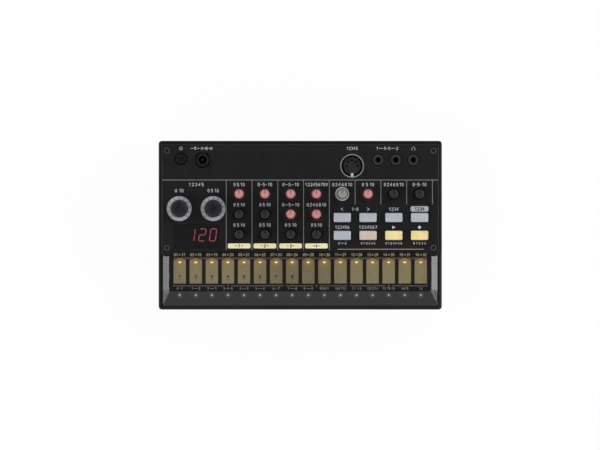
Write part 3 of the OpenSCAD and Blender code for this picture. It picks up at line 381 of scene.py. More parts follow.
def build_group(name, inputs, outputs):
    """A new shader group with named inputs and outputs: the group, its tree, and its ends to wire."""
    group = bpy.data.node_groups.new(name, "ShaderNodeTree")
    for label, kind, value in inputs:
        socket = group.interface.new_socket(label, in_out="INPUT", socket_type=kind)
        if value is not None:
            socket.default_value = value
    for label in outputs:
        kind = VECTOR if label == "Place" else NUMBER
        group.interface.new_socket(label, in_out="OUTPUT", socket_type=kind)
    tree = Tree(group)
    return group, tree, tree.add("NodeGroupInput").outputs, tree.add("NodeGroupOutput").inputs


def deck_place_group():
    """A point of the object in deck millimetres: its offset from the deck's origin along u, v and w."""
    group, t, given, out = build_group("deck_place", [("Position", VECTOR, None)], ["Place"])
    offset = t.vector("SUBTRACT", given["Position"], tuple(DECK))
    along = [t.vector("DOT_PRODUCT", offset, tuple(axis)) for axis in AXES]
    joined = t.add("ShaderNodeCombineXYZ", dict(enumerate(along))).outputs[0]
    t.link(out["Place"], t.vector("MULTIPLY", joined, TO_MM))
    return group


def mould_grain_group():
    """Spark-eroded moulding texture: fine noise for its height, and broad noise for its shade."""
    group, t, given, out = build_group(
        "mould_grain", [("Position", VECTOR, None), ("Grain", NUMBER, 0.4)], ["Height", "Shade"])
    scaled = t.vector("MULTIPLY", given["Position"], TO_MM)
    density = t.math("DIVIDE", 1.0, given["Grain"])
    fine = t.noise(scaled, density, 4.0, 0.62)
    pits = t.cells(scaled, t.times(density, 0.8))
    t.link(out["Height"], t.math("ADD", t.times(fine, 0.7), t.times(pits, 0.3)))
    t.link(out["Shade"], t.noise(scaled, 0.06, 2.0))
    return group


def handling_group():
    """Where hands have been: soft smears of the given reach in millimetres, broken up by fine streaks."""
    group, t, given, out = build_group(
        "handling", [("Position", VECTOR, None), ("Reach", NUMBER, 14.0)], ["Smear", "Dust"])
    scaled = t.vector("MULTIPLY", given["Position"], TO_MM)
    broad = t.noise(scaled, t.math("DIVIDE", 1.0, given["Reach"]), 3.0)
    streaks = t.noise(t.vector("MULTIPLY", scaled, (1.0, 0.25, 1.0)), 0.9, 4.0, 0.7)
    t.link(out["Smear"], t.ease(t.times(broad, t.math("ADD", 0.55, streaks)), 0.42, 0.72))
    t.link(out["Dust"], t.ease(t.cells(scaled, 0.55), 0.09, 0.02))
    return group


def nearest_control_group():
    """How far a point lies from the nearest of a grid of controls: its offset from the first one, less
    the nearest whole number of pitches, held between the first and the last."""
    group, t, given, out = build_group(
        "nearest_control",
        [(label, VECTOR, None) for label in ("Place", "First", "Pitch", "Last")], ["Distance"])
    flat = t.vector("MULTIPLY", t.vector("SUBTRACT", given["Place"], given["First"]), FLAT)
    steps = t.vector("FLOOR", t.vector("ADD", t.vector("DIVIDE", flat, given["Pitch"]), (0.5, 0.5, 0.5)))
    held = t.vector("MINIMUM", t.vector("MAXIMUM", steps, (0.0, 0.0, 0.0)), given["Last"])
    apart = t.vector("SUBTRACT", flat, t.vector("MULTIPLY", held, given["Pitch"]))
    t.link(out["Distance"], t.vector("LENGTH", t.vector("MULTIPLY", apart, FLAT)))
    return group


def brushing_group():
    """Fine parallel scratches across a metal: noise drawn out along one axis."""
    group, t, given, out = build_group(
        "brushing", [("Position", VECTOR, None), ("Stretch", VECTOR, None)], ["Streak", "Stain"])
    scaled = t.vector("MULTIPLY", given["Position"], TO_MM)
    t.link(out["Streak"], t.noise(t.vector("MULTIPLY", scaled, given["Stretch"]), 3.0, 5.0, 0.6))
    t.link(out["Stain"], t.noise(scaled, 0.25, 3.0))
    return group


GROUP_BUILDERS = {
    "deck_place": deck_place_group, "mould_grain": mould_grain_group, "handling": handling_group,
    "nearest_control": nearest_control_group, "brushing": brushing_group,
}
GROUPS = {}


def shared(name):
    """A shared group by name, built the first time it is wanted."""
    if name not in GROUPS:
        GROUPS[name] = GROUP_BUILDERS[name]()
    return GROUPS[name]


class Finish(Tree):
    """A material: its principled shader, the object's own coordinates and the shared effects."""

    def __init__(self, name, roughness=0.5, metallic=0.0, specular=0.5, alpha=1.0, emission=0.0):
        self.material = bpy.data.materials.new(name)
        self.material.use_nodes = True
        super().__init__(self.material.node_tree)
        self.shader = self.tree.nodes["Principled BSDF"]
        self.position = self.add("ShaderNodeTexCoord").outputs["Object"]
        self.place = self.group("deck_place", Position=self.position)["Place"]
        self.u, self.v, self.w = self.split(self.place)
        constants = {"Roughness": roughness, "Metallic": metallic, "Specular IOR Level": specular,
                     "Alpha": alpha, "Emission Strength": emission, "IOR": 1.5}
        for socket, value in constants.items():
            self.feed(socket, value)

    def feed(self, socket, value):
        """Links a varying value to the shader, or sets a plain one on its own socket."""
        self.link(self.shader.inputs[socket], value)

    def group(self, name, **feeds):
        """The outputs of a shared group, fed with these values."""
        return self.add("ShaderNodeGroup", feeds, node_tree=shared(name)).outputs

    def near(self, first, pitch=(1.0, 1.0, 1.0), last=(0.0, 0.0, 0.0)):
        """Millimetres from the nearest of a grid of controls: where the first one is, how far apart they
        are, and the number of steps to the last one."""
        feeds = {"Place": self.place, "First": (first[0], first[1], 0.0), "Pitch": pitch, "Last": last}
        return self.group("nearest_control", **feeds)["Distance"]

    def grains(self, grain):
        """The mould's texture with grains of that size in millimetres."""
        return self.group("mould_grain", Position=self.position, Grain=grain)

    def handled(self, reach, clean, smeared):
        """Makes the roughness go from clean to smeared under smears of that reach in millimetres."""
        touched = self.group("handling", Position=self.position, Reach=reach)
        self.gloss(touched["Smear"], 0.0, 1.0, clean, smeared)
        return touched

    def brushed(self, *stretch):
        """Scratches drawn out by these factors, and stains."""
        return self.group("brushing", Position=self.position, Stretch=stretch)

    def colour(self, mask, first, second):
        """Colours the surface with two colours mixed by a mask."""
        self.feed("Base Color", self.mix(mask, first, second))

    def gloss(self, mask, start, end, low, high):
        """Makes the roughness go from low to high as the mask goes from start to end."""
        self.feed("Roughness", self.ease(mask, start, end, low, high))

    def shine(self, mask, colour):
        """Makes the surface shine in a colour as far as the mask allows."""
        self.feed("Emission Color", self.mix(mask, BLACK, colour))

    def relief(self, height, distance):
        """Raises or sinks the surface in the light by a height map."""
        bump = self.add("ShaderNodeBump", {"Height": height, "Distance": distance, "Strength": 1.0})
        self.feed("Normal", bump.outputs["Normal"])

    def mottle(self, colour, lighter=1.25, grain=0.4, depth=0.00003, reach=14.0, rough=(0.45, 0.6)):
        """Moulded plastic: two close shades, the mould's grain, and hands' smears in the gloss."""
        grains = self.grains(grain)
        touched = self.handled(reach, rough[1], rough[0])
        bright = tuple(min(c * lighter, 1.0) for c in colour)
        shade = self.mix(self.ease(grains["Shade"], 0.35, 0.65), colour, bright)
        self.relief(grains["Height"], depth)
        return self.mix(self.times(touched["Dust"], 0.05), shade, (0.35, 0.34, 0.32))

    def plated(self, first, second, rough):
        """Plated metal: two shades by its stains, and scratches in its gloss. Gives back the scratches."""
        brushed = self.brushed(1.0, 1.0, 8.0)
        self.colour(self.ease(brushed["Stain"], 0.35, 0.7), first, second)
        self.gloss(brushed["Streak"], 0.3, 0.7, *rough)
        return brushed["Streak"]

    def coarse(self, place, scale, first, second, rough):
        """Pressed paper or powder: one rough noise for its shade, gloss and relief."""
        pits = self.noise(place, scale, 5.0, 0.7)
        self.colour(pits, first, second)
        self.gloss(pits, 0.3, 0.7, *rough)
        self.relief(pits, 0.00008)

    def dress(self, *names):
        """Gives the named nodes this finish, in every slot that they have."""
        for name in names:
            node = cad(name)
            if not node.material_slots:
                node.data.materials.append(self.material)
            for place in node.material_slots:
                place.material = self.material


# ---- What a user would change ----


def colour_property(name, description, default):
    """A colour of three channels from 0 to 1."""
    return FloatVectorProperty(name=name, description=description, default=default, subtype="COLOR",
                               size=3, min=0.0, max=1.0)


def length_property(name, description, default, low, high):
    """A length in metres."""
    return FloatProperty(name=name, description=description, default=default, unit="LENGTH",
                         min=low, max=high, precision=5)


def number_property(name, description, default, high, **kind):
    """A number from 0 up to high, with the unit or subtype that is given."""
    return FloatProperty(name=name, description=description, default=default, min=0.0, max=high, **kind)


class DrumPrintSettings(bpy.types.PropertyGroup):
    """Sizes and inks of what is printed on the panel, the touch board and the cover"""

    ink: colour_property("Panel ink", "Ink of the captions and scales", linear(192, 194, 198))
    line_ink: colour_property("Line ink", "Ink of the lines between the controls", linear(134, 134, 136))
    tag_ink: colour_property("Tag ink", "Ground of the four voice tags", linear(252, 243, 197))
    stripe_ink: colour_property("Stripe ink", "Ink of the stripe below the buttons", linear(172, 148, 128))
    dark_ink: colour_property("Dark ink", "Ink of marks on pale grounds", linear(52, 46, 38))
    cover_ink: colour_property("Cover ink", "Ink of the step numbers and the brackets", linear(236, 230, 218))
    line_width: length_property("Line width", "Width of the lines on the panel", 0.00044, 0.0002, 0.002)
    caption_height: length_property("Caption height", "Height of the captions", 0.002, 0.001, 0.004)
    small_height: length_property("Small height", "Height of the small captions", 0.0013, 0.0008, 0.003)
    stroke: length_property("Stroke", "Width of the captions' strokes", 0.00036, 0.0001, 0.001)
    film: length_property("Film", "Thickness of the printed film", 0.00003, 0.00001, 0.0002)
    scale_inner: length_property("Scale inner", "Inner radius of the large scales", 0.0061, 0.004, 0.008)
    scale_outer: length_property("Scale outer", "Outer radius of the large scales", 0.00842, 0.006, 0.011)
    scale_marks: IntProperty(name="Scale marks", description="Number of marks on a large knob's scale",
                             default=11, min=2, max=31)


class DrumLightSettings(bpy.types.PropertyGroup):
    """The display and the small lights"""

    readout: StringProperty(name="Readout", description="Number shown on the display, at most four digits",
                            default="120", maxlen=4)
    segment: length_property("Segment width", "Width of a display segment", 0.00044, 0.0002, 0.0015)
    readout_colour: colour_property("Readout colour", "Colour of the lit segments", (1.0, 0.18, 0.3))
    readout_power: number_property("Readout power", "Brightness of the lit segments", 7.0, 20.0)
    pad_colour: colour_property("Pad light colour", "Colour of the lights in the pads", (1.0, 0.78, 0.42))
    pad_power: number_property("Pad light power", "Brightness of the lights in the pads", 1.6, 20.0)
    halo_colour: colour_property("Pad halo colour", "Glow round the lights in the pads", (1.0, 0.5, 0.12))
    front_colour: colour_property("Front light colour", "Colour of the lights in the front bevel",
                                  (0.95, 0.84, 0.76))
    front_power: number_property("Front light power", "Brightness of the front bevel's lights", 0.45, 20.0)
    knob_glow: colour_property("Knob glow", "Colour that the lit knobs throw on the panel", (1.0, 0.12, 0.13))


class DrumFinishSettings(bpy.types.PropertyGroup):
    """Colours and gloss of the pieces"""

    case: colour_property("Case", "Colour of the case halves and the battery door", linear(19, 20, 22))
    panel: colour_property("Panel", "Colour of the control panel", linear(23, 23, 25))
    smoke: colour_property("Smoked cover", "Tint of the clear cover over the pads", linear(26, 24, 24))
    smoke_depth: number_property("Smoke depth", "How much of what lies below the cover it hides",
                                 0.24, 1.0, subtype="FACTOR")
    pane_depth: number_property("Pane depth", "How much of what lies below the display pane it hides",
                                0.74, 1.0, subtype="FACTOR")
    pad: colour_property("Pad", "Colour of the touch pads", (0.68, 0.55, 0.32))
    knob: colour_property("Knob", "Colour of the plain small knobs", linear(36, 36, 38))
    lit_knob: colour_property("Lit knob", "Colour of the lit knobs", linear(180, 138, 137))
    lit_core: colour_property("Lit knob core", "Colour in the middle of the lit knobs", linear(190, 127, 125))
    clear_knob: colour_property("Clear knob", "Colour of the clear grey knob", linear(141, 141, 133))
    cap: colour_property("Cap", "Colour of the two large knobs", linear(20, 20, 22))
    grey_button: colour_property("Grey button", "Colour of the grey buttons", linear(180, 185, 193))
    beige_button: colour_property("Beige button", "Colour of the beige button", linear(205, 190, 174))
    yellow_button: colour_property("Yellow button", "Colour of the yellow buttons", linear(234, 212, 158))
    metal: colour_property("Bright metal", "Colour of the plated pieces", (0.9, 0.9, 0.91))
    rubber: colour_property("Rubber", "Colour of the feet", linear(30, 30, 30))


class DrumStageSettings(bpy.types.PropertyGroup):
    """Camera, table and lamps"""

    distance: length_property("Camera distance", "Distance of the camera from the deck", 3.0, 0.5, 5.0)
    view_width: length_property("View width", "Width of the deck that the camera sees", 0.4084, 0.1, 2.0)
    table_radius: length_property("Table radius", "Radius of the round table", 3.0, 0.5, 10.0)
    table_white: number_property("Table white", "How much of the table's look is plain white",
                                 0.95, 1.0, subtype="FACTOR")
    key_power: number_property("Key power", "Power of each of the two high lamps", 9.0, 500.0, unit="POWER")
    side_power: number_property("Side power", "Power of the low side lamps, dimmer on the left", 10.0, 500.0,
                                unit="POWER")
    ceiling: number_property("Ceiling", "Brightness straight above", 0.12, 2.0)
    horizon: number_property("Horizon", "Brightness at the level of the table", 1.0, 2.0)


# ---- Places of the controls, in deck millimetres ----

PADS = 16
PAD_WIDTH = 8.4
VOICES = 4
COLUMNS = 8
KNOBS = tuple("knob_" + name for name in (
    "kick_click", "kick_pitch", "kick_decay", "snare_snappy", "snare_pitch", "snare_decay", "tom_high_pitch",
    "tom_low_pitch", "tom_decay", "hat_closed_decay", "hat_open_decay", "hat_grain", "sample_speed", "tempo",
    "part_level", "volume"))
LIT_KNOBS = tuple("knob_" + name for name in (
    "kick_click", "snare_snappy", "tom_high_pitch", "tom_low_pitch", "hat_closed_decay", "hat_open_decay",
    "tempo"))
CLEAR_KNOB = "knob_sample_speed"
CAPS = ("knob_stutter_time", "knob_stutter_depth")
GREY_BUTTONS = ("button_part_left", "button_part_right", "button_mute", "button_function", "button_memory")
BEIGE_BUTTONS = ("button_step_mode",)
YELLOW_BUTTONS = ("button_play", "button_record")
BUTTONS = GREY_BUTTONS + BEIGE_BUTTONS + YELLOW_BUTTONS
MIDDLE = {name: middle_on_deck(name) for name in KNOBS + CAPS + BUTTONS + ("power_button",)}
COLUMN_FIRST = MIDDLE["knob_kick_click"][0]
COLUMN_PITCH = (MIDDLE["knob_volume"][0] - COLUMN_FIRST) / (COLUMNS - 1)
ROW_FIRST = MIDDLE["knob_kick_click"][1]
ROW_LAST = MIDDLE["knob_kick_decay"][1]
ROW_PITCH = (ROW_FIRST - ROW_LAST) / 2
SMALL_KNOBS = {"first": (COLUMN_FIRST, ROW_LAST), "pitch": (COLUMN_PITCH, ROW_PITCH, 1.0),
               "last": (COLUMNS - 1.0, 2.0, 0.0)}
PADS_LOW, PADS_HIGH = reach_on_deck("touch_pads")
PAD_FIRST = PADS_LOW[0] + PAD_WIDTH / 2
PAD_PITCH = (PADS_HIGH[0] - PADS_LOW[0] - PAD_WIDTH) / (PADS - 1)
PAD_ROW = {"pitch": (PAD_PITCH, 1.0, 1.0), "last": (PADS - 1.0, 0.0, 0.0)}
PAD_LAMP_V = PADS_HIGH[1] - 3.2
PAD_SKIN = (PADS_HIGH[2] - 0.02, PADS_HIGH[2] + 0.03)  # foot and top of what is printed on the pads
FRONT_LAMP_V = middle_on_deck("front_light_pipes")[1]
PANEL_HIGH = reach_on_deck("control_panel")[1]
RULE_V = PANEL_HIGH[1] - 24.65  # v of the line under the sockets
SIDE_BEVEL, FRONT_BEVEL = 4.2, 9.8  # how far the cover's bevels reach in
SCREW_HEAD = 2.3  # radius of a screw's head
JACK_HALF = 4.5  # half the width of a jack's body
JACKS_LOW, JACKS_HIGH = reach_on_deck("mini_jacks")
JACK_FIRST, JACK_LAST = JACKS_LOW[0] + JACK_HALF, JACKS_HIGH[0] - JACK_HALF
CELL_LENGTH = 0.0505  # in metres, as the cells' material reads its place

# ---- The printed marks, in deck millimetres: a row is a v, and a rise is counted from a control ----

PRINT_FOOT = -0.02  # w of the film's foot, just inside the panel
LINE_END, SHORT_LINE_END = -16.9, 14.1
LONG_LINES = 5  # how many of the lines between the columns go down to LINE_END
STRIPE = ((25.4, -16.35), (84.2, -16.35))
STRIPE_WIDTH = 0.44
KNOB_RISE, UPPER_RISE, LOWER_RISE, LOWER_DROP = 6.35, 5.65, 5.5, -5.4
CAPS_ROW, CAP_ENDS_ROW = 27.7, 23.5
SOCKET_ROW = 52.3
PLATE_ROW, PLATE_SIZE = 11.1, (12.1, 3.7, 1.1)  # width, depth and corner radius
TAG_ROW, TAG_SIZE = -14.1, (15.4, 3.4, 1.0)
RANK_ROW, RANK_DOT_ROW = -20.05, -20.1
PAD_NUMBER_ROW, PAD_DASH_ROW = -35.0, -37.2
BRACKET_ROW = -41.3
STEP_ROW = -43.2
CAPTION_WIDTHS = (  # by row of knobs, then by column
    (7.4, 9.6, 11.0, 15.2, 13.4, 8.0, 13.2, 9.2),
    (7.4, 7.4, 11.4, 13.0),
    (7.6, 7.6, 7.6, 7.2),
)
STEP_SPANS = (  # the width and how many numbers fill it, by pad
    (3.9, 2), (5.7, 2), (6.2, 2), (6.3, 3), (5.8, 2), (6.2, 2), (4.6, 2), (6.3, 2), (6.3, 2), (6.0, 3),
    (7.3, 3), (6.3, 2), (7.4, 3), (8.2, 3), (4.8, 2),
)
FIGURE = 1.9  # height of the figures on the tags and by the sockets
OVER = 1.7  # how much higher a mark stands that lies on another


def column(k):
    """u of the middle of column k of the controls."""
    return COLUMN_FIRST + k * COLUMN_PITCH


def pad(k):
    """u of the middle of pad k."""
    return PAD_FIRST + k * PAD_PITCH


def ink(name, colour, roughness=0.5):
    """Printed ink: two close shades broken up by the print's fine pinholes."""
    f = Finish(name, roughness, specular=0.3)
    wear_and_sheen = f.noise(f.place, 2.2, 3.0, 0.6)
    f.colour(f.ease(wear_and_sheen, 0.36, 0.6), toned(colour, 0.84), colour)
    f.gloss(wear_and_sheen, 0.3, 0.7, roughness + 0.08, roughness - 0.08)
    return f.material


# ---- Operators: finishes ----


class DRUM_OT_finish_case(bpy.types.Operator):
    """Gives the case, the battery door, the feet and the screws their finishes"""

    bl_idname = "drum.finish_case"
    bl_label = "Finish the case"

    def execute(self, context):
        look = context.scene.drum_finish
        f = Finish("case_moulding", specular=0.18)
        shade = f.mottle(look.case, 1.22, grain=0.45, depth=0.00005, reach=22.0, rough=(0.5, 0.64))
        # painted highlight: beside the cover, the ledge at its foot and the rim on the right side are painted
        # paler
        beside_cover = f.ease(f.v, -18.8, -19.4)
        ledge = f.times(f.ease(f.off(f.u), 93.0, 93.3), f.ease(f.w, -3.7, -4.0), f.ease(f.w, -4.6, -4.3), 0.9)
        rim = f.times(f.ease(f.u, 94.5, 94.7), f.ease(f.w, -3.6, -3.3), 0.75)
        painted_rim_light = f.times(f.math("MAXIMUM", ledge, rim), beside_cover)
        f.colour(painted_rim_light, shade, toned(look.case, 3.6))
        f.dress("upper_case", "lower_case", "battery_door")

        f = Finish("foot_rubber", specular=0.25)
        wear_and_sheen = f.noise(f.position, 260.0, 4.0, 0.65)
        f.colour(f.ease(wear_and_sheen, 0.5, 0.75, 0.0, 0.35), look.rubber, linear(86, 84, 82))
        f.gloss(wear_and_sheen, 0.3, 0.7, 0.78, 0.92)
        f.relief(f.grains(0.7)["Height"], 0.00006)
        f.dress("rubber_feet")

        low, high = reach_on_deck("panel_screws")
        apart = (high[0] - low[0] - 2 * SCREW_HEAD, high[1] - low[1] - 2 * SCREW_HEAD, 1.0)
        for name, nodes in (("panel_screw_steel", ("panel_screws",)),
                            ("screw_black_steel", ("case_screws", "board_screws"))):
            f = Finish(name, metallic=0.85)
            scratches = f.brushed(1.0, 6.0, 1.0)
            bare = f.ease(scratches["Streak"], 0.55, 0.8, 0.0, 0.5)
            shade = f.mix(bare, linear(98, 98, 100), linear(152, 152, 154))
            if "panel_screws" in nodes:  # dark in the recess of the head
                away = f.near(low + SCREW_HEAD, apart, (1.0, 1.0, 0.0))
                # painted shade in the recess of the head
                shade = f.mix(f.ease(away, 0.5, 1.6), linear(50, 50, 51), shade)
            f.feed("Base Color", shade)
            f.gloss(scratches["Stain"], 0.3, 0.7, 0.3, 0.46)
            f.dress(*nodes)
        return {"FINISHED"}


class DRUM_OT_finish_panel(bpy.types.Operator):
    """Gives the control panel its satin black, lit red round the glowing knobs"""

    bl_idname = "drum.finish_panel"
    bl_label = "Finish the control panel"

    def execute(self, context):
        look, light = context.scene.drum_finish, context.scene.drum_light
        f = Finish("panel_satin", specular=0.16, emission=1.0)
        f.feed("Base Color", f.mottle(look.panel, 1.2, grain=0.3, reach=18.0, rough=(0.42, 0.56)))
        glow = 0.0
        for name in LIT_KNOBS:
            glow = f.math("MAXIMUM", glow, f.fade(f.near(MIDDLE[name]), 3.4, 5.6))
        f.shine(f.times(f.math("POWER", glow, 1.6), 0.05), light.knob_glow)
        f.dress("control_panel")
        return {"FINISHED"}


class DRUM_OT_finish_display(bpy.types.Operator):
    """Gives the display its dark pane and the module behind it"""

    bl_idname = "drum.finish_display"
    bl_label = "Finish the display"

    def execute(self, context):
        look = context.scene.drum_finish
        f = Finish("display_pane", specular=0.35, alpha=look.pane_depth)
        f.handled(9.0, 0.05, 0.16)
        f.colour(f.noise(f.place, 0.12), linear(27, 28, 28), linear(34, 34, 33))
        f.dress("display_window")

        f = Finish("display_module", specular=0.2)
        grains = f.grains(0.5)
        f.colour(grains["Shade"], linear(34, 30, 29), linear(46, 40, 38))
        f.gloss(grains["Height"], 0.2, 0.8, 0.42, 0.6)
        f.relief(grains["Height"], 0.00002)
        f.dress("display_module")
        return {"FINISHED"}


class DRUM_OT_finish_cover(bpy.types.Operator):
    """Gives the smoked cover, the touch pads, the touch board and the small lights their finishes"""

    bl_idname = "drum.finish_cover"
    bl_label = "Finish the cover and the pads"

    def execute(self, context):
        look, light = context.scene.drum_finish, context.scene.drum_light
        self.smoke(look, light)
        self.gild(look, light)

        f = Finish("touch_board_mask", specular=0.3)
        feeds = {"Vector": f.place, "Scale": 0.9, "Distortion": 1.5, "Detail": 1.0}
        weave = f.add("ShaderNodeTexWave", feeds).outputs[1]
        f.colour(f.ease(weave, 0.2, 0.9), linear(38, 28, 17), linear(48, 37, 24))
        f.gloss(weave, 0.0, 1.0, 0.5, 0.35)
        f.dress("touch_board")

        f = Finish("front_light_rods", roughness=0.25, emission=light.front_power)
        cast = f.noise(f.place, 0.8)
        f.colour(cast, (0.62, 0.62, 0.64), (0.74, 0.73, 0.72))
        tip = f.ease(f.w, -8.0, -3.6)
        f.shine(f.times(tip, f.ease(cast, 0.0, 1.0, 0.8, 1.0)), light.front_colour)
        f.dress("front_light_pipes")

        for name, node, lit in (("pad_light_chips", "step_leds", light.pad_colour),
                                ("knob_light_chips", "knob_leds", (1.0, 0.2, 0.2))):
            f = Finish(name, roughness=0.3, emission=2.0)
            cells = f.cells(f.place, 1.6)
            f.colour(cells, (0.75, 0.72, 0.68), (0.9, 0.88, 0.84))
            f.feed("Emission Color", f.mix(f.ease(cells, 0.0, 1.0), lit, toned(lit, 0.8)))
            f.dress(node)
        return {"FINISHED"}

    def smoke(self, look, light):
        """The cover: clear over the pads, dense on its bevels, lit where the front lights shine through."""
        low, high = reach_on_deck("touch_cover")
        top_half, top_front = high[0] - SIDE_BEVEL, low[1] + FRONT_BEVEL
        f = Finish("smoked_cover", specular=0.9, emission=1.0)
        outward = f.off(f.u)
        sides = f.ease(outward, top_half - 0.15, top_half + 0.3)
        front = f.ease(f.v, top_front + 0.5, top_front + 0.1)
        lamp = f.near((PAD_FIRST, FRONT_LAMP_V), **PAD_ROW)

        depth = f.ease(f.math("MAXIMUM", sides, front), 0.0, 1.0, look.smoke_depth, 0.86)
        # past the mitre of two bevels, at its low end, light comes through from the side
        down = f.math("MAXIMUM", f.math("SUBTRACT", top_front, f.v), 0.0)
        mitre = f.math("ADD", f.times(down, SIDE_BEVEL / FRONT_BEVEL), top_half)
        outside = f.ease(f.math("SUBTRACT", outward, mitre), -0.1, 0.15)
        thinned = f.times(f.ease(f.v, -43.5, -44.8), outside, f.ease(f.u, -1.0, 1.0, 0.3, 0.5))
        opened = f.times(f.fade(lamp, 0.45, 1.0), front, 0.6)
        f.feed("Alpha", f.math("SUBTRACT", f.math("SUBTRACT", depth, thinned), opened))
        f.handled(20.0, 0.07, 0.17)

        tint = f.mix(f.noise(f.place, 0.05), look.smoke, toned(look.smoke, 1.3))
        # painted light: the strip between the pads and the side bevels is painted paler
        margin = f.times(f.ease(outward, PADS_HIGH[0] + 0.2, PADS_HIGH[0] + 0.7), f.fade(sides, 0.0, 0.6))
        tint = f.mix(margin, tint, toned(look.smoke, 3.6, 3.6, 3.2))
        # painted light: the front bevel is painted paler and bluer than the top
        f.colour(front, tint, toned(look.smoke, 2.25, 2.4, 2.6))
        # painted light: a warm glow and a bright spot on the front bevel over each front lamp
        halo = f.times(f.fade(lamp, 0.6, 2.9), front)
        haze = f.mix(f.times(f.math("POWER", halo, 1.4), 0.1), BLACK, (0.55, 0.28, 0.1))
        spot = f.times(f.fade(lamp, 0.25, 0.75), front, 0.3)
        f.feed("Emission Color", f.mix(spot, haze, light.front_colour))
        f.dress("touch_cover")

    def gild(self, look, light):
        """The pads: dull gold, with a painted shadow of the panel's edge along the rear and a painted warm
        glow round their lights.
        """
        f = Finish("pad_gold", specular=0.35, emission=1.0)
        wear = f.noise(f.place, 0.35, 4.0, 0.6)
        plated = f.mix(f.ease(wear, 0.35, 0.7), toned(look.pad, 0.9), look.pad)
        cloud = f.ease(f.noise(f.place, 0.1, 2.0), 0.35, 0.65, 0.0, 0.5)
        plated = f.mix(cloud, plated, toned(look.pad, 0.98, 0.93, 0.92))
        # painted shadow: the panel's front edge shades the rear of the pads
        panel_edge_shadow = f.ease(f.v, PADS_HIGH[1] - 2.3, PADS_HIGH[1] - 1.1, 0.0, 0.72)
        plated = f.mix(panel_edge_shadow, plated, (0.1, 0.095, 0.085))
        # darker towards the middle of the row
        plated = f.mix(f.fade(f.off(f.u), 8.0, 45.0, 0.24), plated, (0.02, 0.018, 0.015))
        # painted light: round each pad's light the colour turns warm and the surface glows
        away = f.near((PAD_FIRST, PAD_LAMP_V + 0.3), **PAD_ROW)
        f.colour(f.fade(away, 1.2, 3.8, 0.85), plated, toned(look.pad, 1.0, 0.9, 0.5))
        f.gloss(wear, 0.3, 0.7, 0.5, 0.36)
        glow = f.math("ADD", f.fade(away, 0.9, 2.1, 0.14), f.fade(away, 1.2, 4.0, 0.05))
        f.shine(glow, light.halo_colour)
        f.relief(wear, 0.00001)
        f.dress("touch_pads")


class DRUM_OT_finish_knobs(bpy.types.Operator):
    """Gives the plain, lit and clear knobs, the large caps and the power button their finishes"""

    bl_idname = "drum.finish_knobs"
    bl_label = "Finish the knobs"

    def execute(self, context):
        look = context.scene.drum_finish
        top = MIDDLE["knob_tempo"][2]

        f = Finish("knob_satin", specular=0.3)
        shade = f.mottle(look.knob, 1.15, grain=0.35, reach=5.0, rough=(0.4, 0.55))
        # the rim of the top is painted paler: partly edge wear, partly a painted highlight
        wear_and_sheen = f.times(f.ease(f.w, top - 0.5, top - 0.2), f.ease(f.w, top - 0.02, top - 0.08), 0.12)
        shade = f.mix(wear_and_sheen, shade, linear(120, 120, 122))
        # painted shade: the colour runs towards black at the knob's edge and side
        f.colour(f.ease(f.near(**SMALL_KNOBS), 2.2, 3.1, 0.0, 0.6), shade, BLACK)
        f.dress(*(name for name in KNOBS if name not in LIT_KNOBS + (CLEAR_KNOB,)))

        f = Finish("power_button_satin", specular=0.15)
        shade = f.mottle(linear(15, 15, 17), 1.15, grain=0.35, reach=5.0)
        # painted highlight: a paler ring on the button's rim
        rim = f.fade(f.off(f.near(MIDDLE["power_button"]), 2.5), 0.1, 0.45, 0.16)
        f.colour(rim, shade, linear(60, 60, 62))
        f.dress("power_button")

        f = Finish("knob_lit", emission=0.34)
        away = f.near(**SMALL_KNOBS)
        cast = f.noise(f.place, 0.5)
        # painted light: redder in the middle, over the lamp below
        tint = f.mix(f.ease(away, 2.0, 0.6), look.lit_knob, look.lit_core)
        # painted shade: dark towards the knob's edge and foot
        tint = f.mix(f.ease(away, 2.1, 3.1, 0.0, 0.82), tint, (0.05, 0.01, 0.01))
        f.colour(f.ease(cast, 0.3, 0.7, 0.0, 0.2), tint, linear(210, 150, 146))
        # painted light: the knob glows, most low down and in its middle
        lit = f.times(f.ease(f.w, -4.0, top, 0.8, 0.12), f.ease(away, 2.2, 3.2, 1.0, 0.35))
        f.shine(lit, (1.0, 0.3, 0.27))
        f.gloss(cast, 0.3, 0.7, 0.3, 0.42)
        f.dress(*LIT_KNOBS)

        f = Finish("knob_clear_grey")
        cast = f.noise(f.place, 0.5)
        # painted shade: darker towards the knob's edge
        ringed = f.mix(f.ease(f.near(**SMALL_KNOBS), 2.2, 3.1), look.clear_knob, toned(look.clear_knob, 0.75))
        f.colour(f.ease(cast, 0.3, 0.7, 0.0, 0.25), ringed, linear(152, 151, 144))
        f.gloss(cast, 0.3, 0.7, 0.28, 0.4)
        f.dress(CLEAR_KNOB)

        f = Finish("cap_smoked", specular=0.4)
        left, right = (MIDDLE[name] for name in CAPS)
        away = f.near(left, (right[0] - left[0], 1.0, 1.0), (1.0, 0.0, 0.0))
        # painted highlight: the cap is paler towards its edge and darker in the middle
        shade = f.mix(f.ease(away, 0.5, 5.0), look.cap, toned(look.cap, 2.9))
        f.colour(f.ease(f.noise(f.place, 0.3), 0.3, 0.7, 0.0, 0.3), shade, linear(46, 46, 48))
        f.handled(6.0, 0.16, 0.3)
        f.dress(*CAPS)
        return {"FINISHED"}


